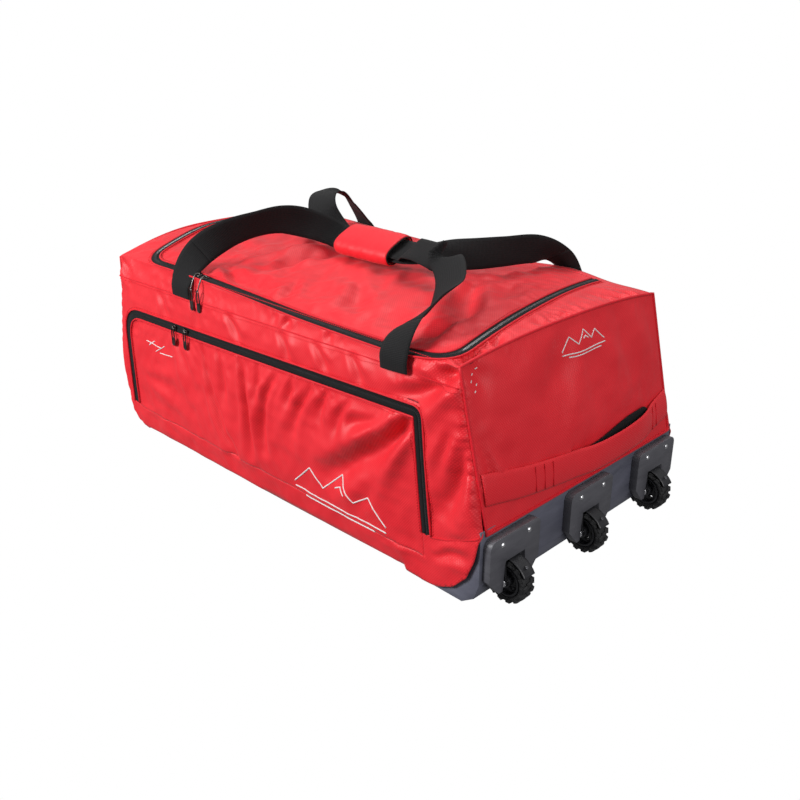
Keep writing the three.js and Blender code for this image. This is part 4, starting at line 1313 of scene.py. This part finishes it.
wrap = sleeve("grip_wrap_sleeve", GRIP["x0"] + 3, GRIP["x1"] - 3, 44, grip_swell, RED, 4)
belongs(wrap, "front_handle", "red_polyester", "grip_wrap")
for label, x in (("left", GRIP["x0"] + 1), ("right", GRIP["x1"] - 8)):
    binding = sleeve(f"grip_binding_{label}", x, x + 7, 6,
                     lambda share, angle: 0.975 + 0.02 * math.sin(math.pi * share), BLACK, 1.4)
    belongs(binding, "front_handle", "black_webbing")
EDGE_ANGLE = math.radians(62)
edge_sides = [[grip_section(x, grip_swell((x + 69) / 124, EDGE_ANGLE) + 0.03, EDGE_ANGLE + turn)
               for x in np.linspace(-70, 56, 40)] for turn in (0, 0.34)]
belongs(strip("grip_binding_edge", *edge_sides, 1.6, BLACK, 4, 0.6), "front_handle", "black_webbing")

# Handles at the two ends ---------------------------------------------------------------------

BAND_ROUTE = [(-224, 180, 0), (-150, 168, 0), (-60, 157, 0), (-30, 155, 1), (-8, 156, 7),
              (20, 157, 10), (70, 158, 11), (120, 160, 10), (148, 161, 7), (170, 161, 1),
              (195, 163, 0), (224, 168, 0)]


def eased(values, reach):
    """Values averaged over `reach` neighbours on each side."""
    count = 2 * reach + 1
    return np.convolve(np.pad(values, reach, mode="edge"), np.ones(count) / count, mode="valid")


def band_edges(width):
    route = np.array(BAND_ROUTE, float)
    ys = np.linspace(route[0, 0], route[-1, 0], 120)
    zs = eased(np.interp(ys, route[:, 0], route[:, 1]), 6)
    bulge = eased(np.interp(ys, route[:, 0], route[:, 2]), 4)
    edges = []
    for sign in (-1, 1):
        base = end_lift(np.column_stack([ys, zs + sign * width / 2]))
        loose = bulge * (1.15 if sign > 0 else 0.85)
        edges.append(base + np.column_stack([loose + 2.2, np.zeros_like(ys), -loose * 0.22]))
    return edges


band = strip("wheel_end_band", *band_edges(43), 3.0, RED, 12, 2.0)
belongs(band, "bag_body", "red_polyester", "wheel_end_grab_handle")
for k, y in enumerate((-128, -112, -94, 168, 182)):
    nearest = np.argmin(np.abs(band_edges(43)[0][:, 1] - y))
    foot, head = (edge[nearest] + (3.4, 0, 0) for edge in band_edges(37))
    sewn_on(tube(f"band_tack_{k}", np.linspace(foot, head, 8), 0.7, RED_HEM))

# A near-black strip on the wheel end, painted shade for the gap above the band where a hand goes in
slot_ys = np.linspace(2, 166, 40)
slot_rise = 13 * smoothstep((slot_ys - 2) / 110) * smoothstep((168 - slot_ys) / 22)
slot_shade_edges = [end_lift(np.column_stack([slot_ys, zs])) + (3.4, 0, 0)
              for zs in (np.full(40, 160.0), 172.5 + slot_rise)]
belongs(strip("grab_slot_shade", *slot_shade_edges, 0.8, ZIP_CLOTH_AND_SLOT_SHADE, 6), "bag_body", "lining")

# The webbing handle of the far end
tow_ys = np.linspace(-125, 125, 90)
tow_bulge = eased(np.interp(np.abs(tow_ys), [0, 30, 70, 96, 125], [26, 25, 12, 1.5, 0]), 4)
tow_low, tow_high = (far_lift(np.column_stack([tow_ys, np.full(90, z)]))
                     - np.column_stack([tow_bulge + 2.4, np.zeros(90), np.zeros(90)])
                     for z in (187.0, 225.0))
belongs(strip("far_end_tow_strap", tow_low, tow_high, 2.8, BLACK, 8, 0.3), "bag_body",
        "black_webbing", "far_end_tow_handle")

# Pocket bag ----------------------------------------------------------------------------------

LINING_BACK_Y = -212.0


def lining_lift(flat):
    away = distance(flat, pocket_line(12, 38), True)
    y = LINING_BACK_Y - 23.5 * (1 - smoothstep(away / 16))
    return np.column_stack([flat[:, 0], y, flat[:, 1]])


pocket_bag, _ = sheet("pocket_bag", pocket_line(12, 38), lining_lift, seed=71, ease=None, swell=1.2)
pocket_bag.data.materials[0] = LINING
thicken(face_out(pocket_bag, (0, -1, 0)), 1.2)
belongs(pocket_bag, "bag_body", "lining", "pocket_lining")

# Wheel tray, forks and wheels ----------------------------------------------------------------

LUGS = 14                        # in each row of a tyre's tread
COVER_RADIUS = 36.6              # of the cover over a wheel


def refined(name, radius, mat, slot, new_name, segments=2):
    """A copy of a frame node with rounded edges, to show in its place."""
    obj = NODES[name].copy()
    obj.data = NODES[name].data.copy()
    obj.name = obj.data.name = new_name
    obj.parent = None
    SCENE.collection.objects.link(obj)
    obj.data.materials.clear()
    obj.data.materials.append(mat)
    rounded(obj, radius, segments)
    return belongs(obj, BODY_OF[name], slot, name)


def at_wheel(i, dx, dy, dz):
    return np.array((WHEEL["x"] + dx, (i - 1) * WHEEL["spacing"] + dy, WHEEL["radius"] + dz))


def tyre(i, wheel_name):
    """A tyre with a rounded carcass and three staggered rows of chunky lugs."""
    body_name = f"wheel_{wheel_name}"
    profile = [(24.0, -11.0), (27, -12.6), (29.6, -11.6), (31.0, -8.5), (31.5, 0), (31.0, 8.5),
               (29.6, 11.6), (27, 12.6), (24.0, 11.0)]
    around = 48
    size = len(profile)
    points, faces = [], []
    for k in range(around):
        angle = 2 * math.pi * k / around
        ring, ahead = k * size, (k + 1) % around * size
        points += [at_wheel(i, r * math.cos(angle), y, r * math.sin(angle)) for r, y in profile]
        for j in range(size):
            after = (j + 1) % size
            faces.append((ring + j, ring + after, ahead + after, ahead + j))
    carcass = mesh_object(f"tyre_{wheel_name}_carcass", points, faces, RUBBER)
    out_facing(carcass)
    places, shoulders = [], []
    for k in range(LUGS):
        for row, offset, shift in ((-1, -7.6, 0.0), (1, 7.6, 0.5), (0, 0, 0.25)):
            a = 2 * math.pi * (k + shift) / LUGS
            radial = np.array((math.cos(a), 0, math.sin(a)))
            tangent = np.array((-math.sin(a), row * 0.22, math.cos(a)))
            reach = 31.6 if row else 31.9
            places.append((at_wheel(i, 0, offset, 0) + radial * reach, tangent, radial))
            if row:
                shoulders.append((at_wheel(i, 0, row * 11.4, 0) + radial * 29.2, tangent,
                                  np.array((radial[0] * 0.5, row * 0.86, radial[2] * 0.5))))
    tread = blocks(f"tyre_{wheel_name}_tread", places, (8.0, 8.6, 4.2), RUBBER)
    sides = blocks(f"tyre_{wheel_name}_sides", shoulders, (7.2, 6.0, 3.2), RUBBER)
    whole = joined(f"tyre_{wheel_name}_shown", [carcass, tread, sides])
    return belongs(whole, body_name, "tyre", f"tyre_{wheel_name}")


def mudguard(i, wheel_name):
    """The bracket's curved cover over the wheel, with its screw."""
    arcs = np.radians(np.linspace(28, 112, 26))
    sides = [[at_wheel(i, COVER_RADIUS * math.cos(a), y, COVER_RADIUS * math.sin(a)) for a in arcs]
             for y in (-11.5, 11.5)]
    cover = strip(f"mudguard_{wheel_name}_cover", *sides, 1.6, HUB, 8, 0.9)
    belongs(cover, "bag_body", "fork_steel")
    a = math.radians(47)
    centre = at_wheel(i, (COVER_RADIUS + 2) * math.cos(a), 0, (COVER_RADIUS + 2) * math.sin(a))
    out = np.array((math.cos(a), 0, math.sin(a)))
    side = np.array((0, 1.0, 0))
    up = np.cross(out, side)
    ring = [(2.6 * math.cos(t), 2.6 * math.sin(t)) for t in np.linspace(0, 2 * math.pi, 13)[:-1]]
    screw = prism(f"mudguard_{wheel_name}_screw", ring, 1.5, STEEL,
                  lambda p, q, h: centre + side * p + up * q + out * h)
    belongs(rounded(screw, 0.5), "bag_body", "fork_steel")


for i, wheel_name in enumerate(WHEEL_NAMES):
    refined(f"wheel_housing_{wheel_name}", 1.6, TRAY, "tray_plastic", f"housing_{wheel_name}_plate", 3)
    refined(f"wheel_fork_{wheel_name}", 0.5, STEEL, "fork_steel", f"fork_{wheel_name}_bracket")
    refined(f"axle_{wheel_name}", 0.5, BRIGHT, "bright_steel", f"axle_{wheel_name}_bolt")
    refined(f"hub_{wheel_name}", 0.5, HUB, "hub_plastic", f"hub_{wheel_name}_spoked")
    for rivet in (f"rivet_{wheel_name}_left", f"rivet_{wheel_name}_right"):
        refined(rivet, 0.3, BRIGHT, "bright_steel", f"{rivet}_head")
    tyre(i, wheel_name)
    mudguard(i, wheel_name)
refined("wheel_tray", 2.2, RECESS, "tray_plastic", "tray_shell", 3)
for name in ("stiffener_board", "bush_front", "bush_middle", "bush_rear"):
    for material_slot in NODES[name].material_slots:
        material_slot.material = BOARD

# Emblems and stitches ------------------------------------------------------------------------

RAY_LENGTH = 0.6                 # metres


def caster(*objects):
    """Finds the point on any of the objects that a ray meets first."""
    trees = []
    for obj in objects:
        mesh = obj.data
        trees.append(BVHTree.FromPolygons([v.co for v in mesh.vertices],
                                          [tuple(p.vertices) for p in mesh.polygons]))

    def cast(origin, direction):
        best = None
        for tree in trees:
            hit, _, _, far = tree.ray_cast(Vector(origin) * MM, Vector(direction), RAY_LENGTH)
            if hit is not None and (best is None or far < best[1]):
                best = (np.array(hit) / MM, far)
        return best[0] if best else None
    return cast


on_front = caster(front_shell, pocket_front)
on_end = caster(wheel_end)
on_top = caster(top_frame, lid)


def hits(cast, origins, direction):
    found = [cast(origin, direction) for origin in origins]
    return [hit for hit in found if hit is not None]


def front_points(line):
    return hits(on_front, [(x, -400, z) for x, z in resample(line, 3)], (0, 1, 0))


def end_points(line, step=3):
    return hits(on_end, [(700, y, z) for y, z in resample(line, step)], (-1, 0, 0))


def top_points(line):
    return hits(on_top, [(x, y, 500) for x, y in resample(line, 4)], (0, 0, -1))


def embroidery(name, lines, trace, radius, body):
    """A generic printed motif: raised lines that follow the cloth."""
    parts = [tube(f"{name}_{k}", trace(line), radius, WHITE_THREAD_AND_HIGHLIGHT, 6) for k, line in enumerate(lines)]
    return sewn_on(joined(name, parts), body)


def peaks(left, bottom, width, height):
    """A row of mountain peaks over two straight lines."""
    shares = [(0, 0.25), (0.2, 0.85), (0.34, 0.45), (0.52, 1.0), (0.68, 0.5), (0.82, 0.8), (1, 0.25)]
    ridge = [(left + width * a, bottom + height * b) for a, b in shares]
    marks = [[(0, 0.1), (1, 0.1)], [(0.12, -0.04), (0.88, -0.04)],
             [(0.47, 0.62), (0.53, 0.72), (0.59, 0.58)]]
    return [ridge] + [[(left + width * a, bottom + height * b) for a, b in mark] for mark in marks]


embroidery("pocket_emblem", peaks(70, 50, 205, 62), front_points, 1.15, "pocket_front")
embroidery("corner_emblem", [[(-349, 193), (-300, 190)], [(-342, 186), (-322, 198)],
                             [(-318, 180), (-290, 196)], [(-306, 179), (-262, 184)]],
           front_points, 0.9, "pocket_front")
embroidery("end_emblem", peaks(-27, 300, 98, 30), end_points, 0.9, "bag_body")


def stitches(name, points, out, pitch=4.2, mat=RED_HEM, size=(2.6, 0.9, 0.8)):
    """A row of sewn stitches along points on the cloth."""
    points = np.array(points)
    length = np.linalg.norm(np.diff(points, axis=0), axis=1).sum()
    spots = even(points, max(3, int(length / pitch)))
    along = np.gradient(spots, axis=0)
    out = np.array(out, float)
    places = [(spot + out * 0.25, way, out) for spot, way in zip(spots, along)]
    return blocks(name, places, size, mat)


UP, FORWARD = (0, 0, 1), (0, -1, 0)
STITCH_GAP = TAPE + 5            # of a row of stitches from its zip line
ROWS = [
    ("frame_stitches", top_points(lid_at(STITCH_GAP)), UP, "bag_body"),
    ("lid_stitches", top_points(lid_at(-STITCH_GAP)), UP, None),
    ("pocket_frame_stitches", front_points(pocket_at(STITCH_GAP)), FORWARD, "bag_body"),
    ("pocket_stitches", front_points(pocket_at(-STITCH_GAP)), FORWARD, None),
    ("seam_stitches", front_points([(x, z - 5) for x, z in SEAM]), FORWARD, "bag_body"),
]
sewn = {name: sewn_on(stitches(name, points, out), body) for name, points, out, body in ROWS}
bend_lid(sewn["lid_stitches"])
bend_pocket(sewn["pocket_stitches"])
# Small stitches near the wheel end's top front corner: real stitching, coloured white as a painted
# highlight
for k, (y, z) in enumerate([(-214, 316), (-206, 322), (-198, 328), (-211, 303), (-203, 309)]):
    spot = end_points([(y, z), (y + 2, z + 1)], 1)
    sewn_on(stitches(f"corner_tack_highlight_{k}", spot, (1, 0, 0), 1.2, WHITE_THREAD_AND_HIGHLIGHT, (1.6, 1.4, 0.9)))

# Camera and lights ---------------------------------------------------------------------------

LIGHTS = [("key", (-1.0, -2.5, 1.5), 1.1, 102), ("fill", (2.6, -0.4, 1.4), 1.8, 34),
          ("top", (-0.3, 0.7, 2.6), 1.4, 29)]      # name, place, size, watts
AIM = Vector((0, 0, 0.2))        # what every light looks at


def stage():
    camera = bpy.data.objects.new("camera", bpy.data.cameras.new("camera"))
    SCENE.collection.objects.link(camera)
    camera.location = (1.078, -1.023, 0.742)
    camera.rotation_euler = (math.pi / 2 - 0.4038, 0, 0.7824)
    camera.data.sensor_width = 36
    camera.data.lens = 40.87
    camera.data.clip_start = 0.05
    SCENE.camera = camera

    # The world lights the bag from grey below to white above, and the camera sees plain white.
    world = bpy.data.worlds.new("studio")
    world.use_nodes = True
    nodes, links = world.node_tree.nodes, world.node_tree.links
    nodes["Background"].inputs["Strength"].default_value = 0.5
    up = nodes.new("ShaderNodeSeparateXYZ")
    links.new(nodes.new("ShaderNodeTexCoord").outputs["Generated"], up.inputs[0])
    sky = nodes.new("ShaderNodeValToRGB")
    sky.color_ramp.elements[0].color = (0.36, 0.36, 0.37, 1)
    sky.color_ramp.elements[1].color = (1, 1, 1, 1)
    links.new(up.outputs["Z"], sky.inputs["Fac"])
    links.new(sky.outputs["Color"], nodes["Background"].inputs["Color"])
    backdrop = nodes.new("ShaderNodeBackground")
    backdrop.inputs["Color"].default_value = (1, 1, 1, 1)
    chooser = nodes.new("ShaderNodeMixShader")
    links.new(nodes.new("ShaderNodeLightPath").outputs["Is Camera Ray"], chooser.inputs[0])
    links.new(nodes["Background"].outputs[0], chooser.inputs[1])
    links.new(backdrop.outputs[0], chooser.inputs[2])
    links.new(chooser.outputs[0], nodes["World Output"].inputs["Surface"])
    SCENE.world = world

    for name, at, size, power in LIGHTS:
        lamp = bpy.data.lights.new(name, "AREA")
        lamp.shape = "DISK"
        lamp.size = size
        lamp.energy = power
        obj = bpy.data.objects.new(name, lamp)
        SCENE.collection.objects.link(obj)
        obj.location = at
        obj.rotation_euler = (AIM - Vector(at)).to_track_quat("-Z", "Y").to_euler()


stage()
SCENE.view_settings.view_transform = "Standard"
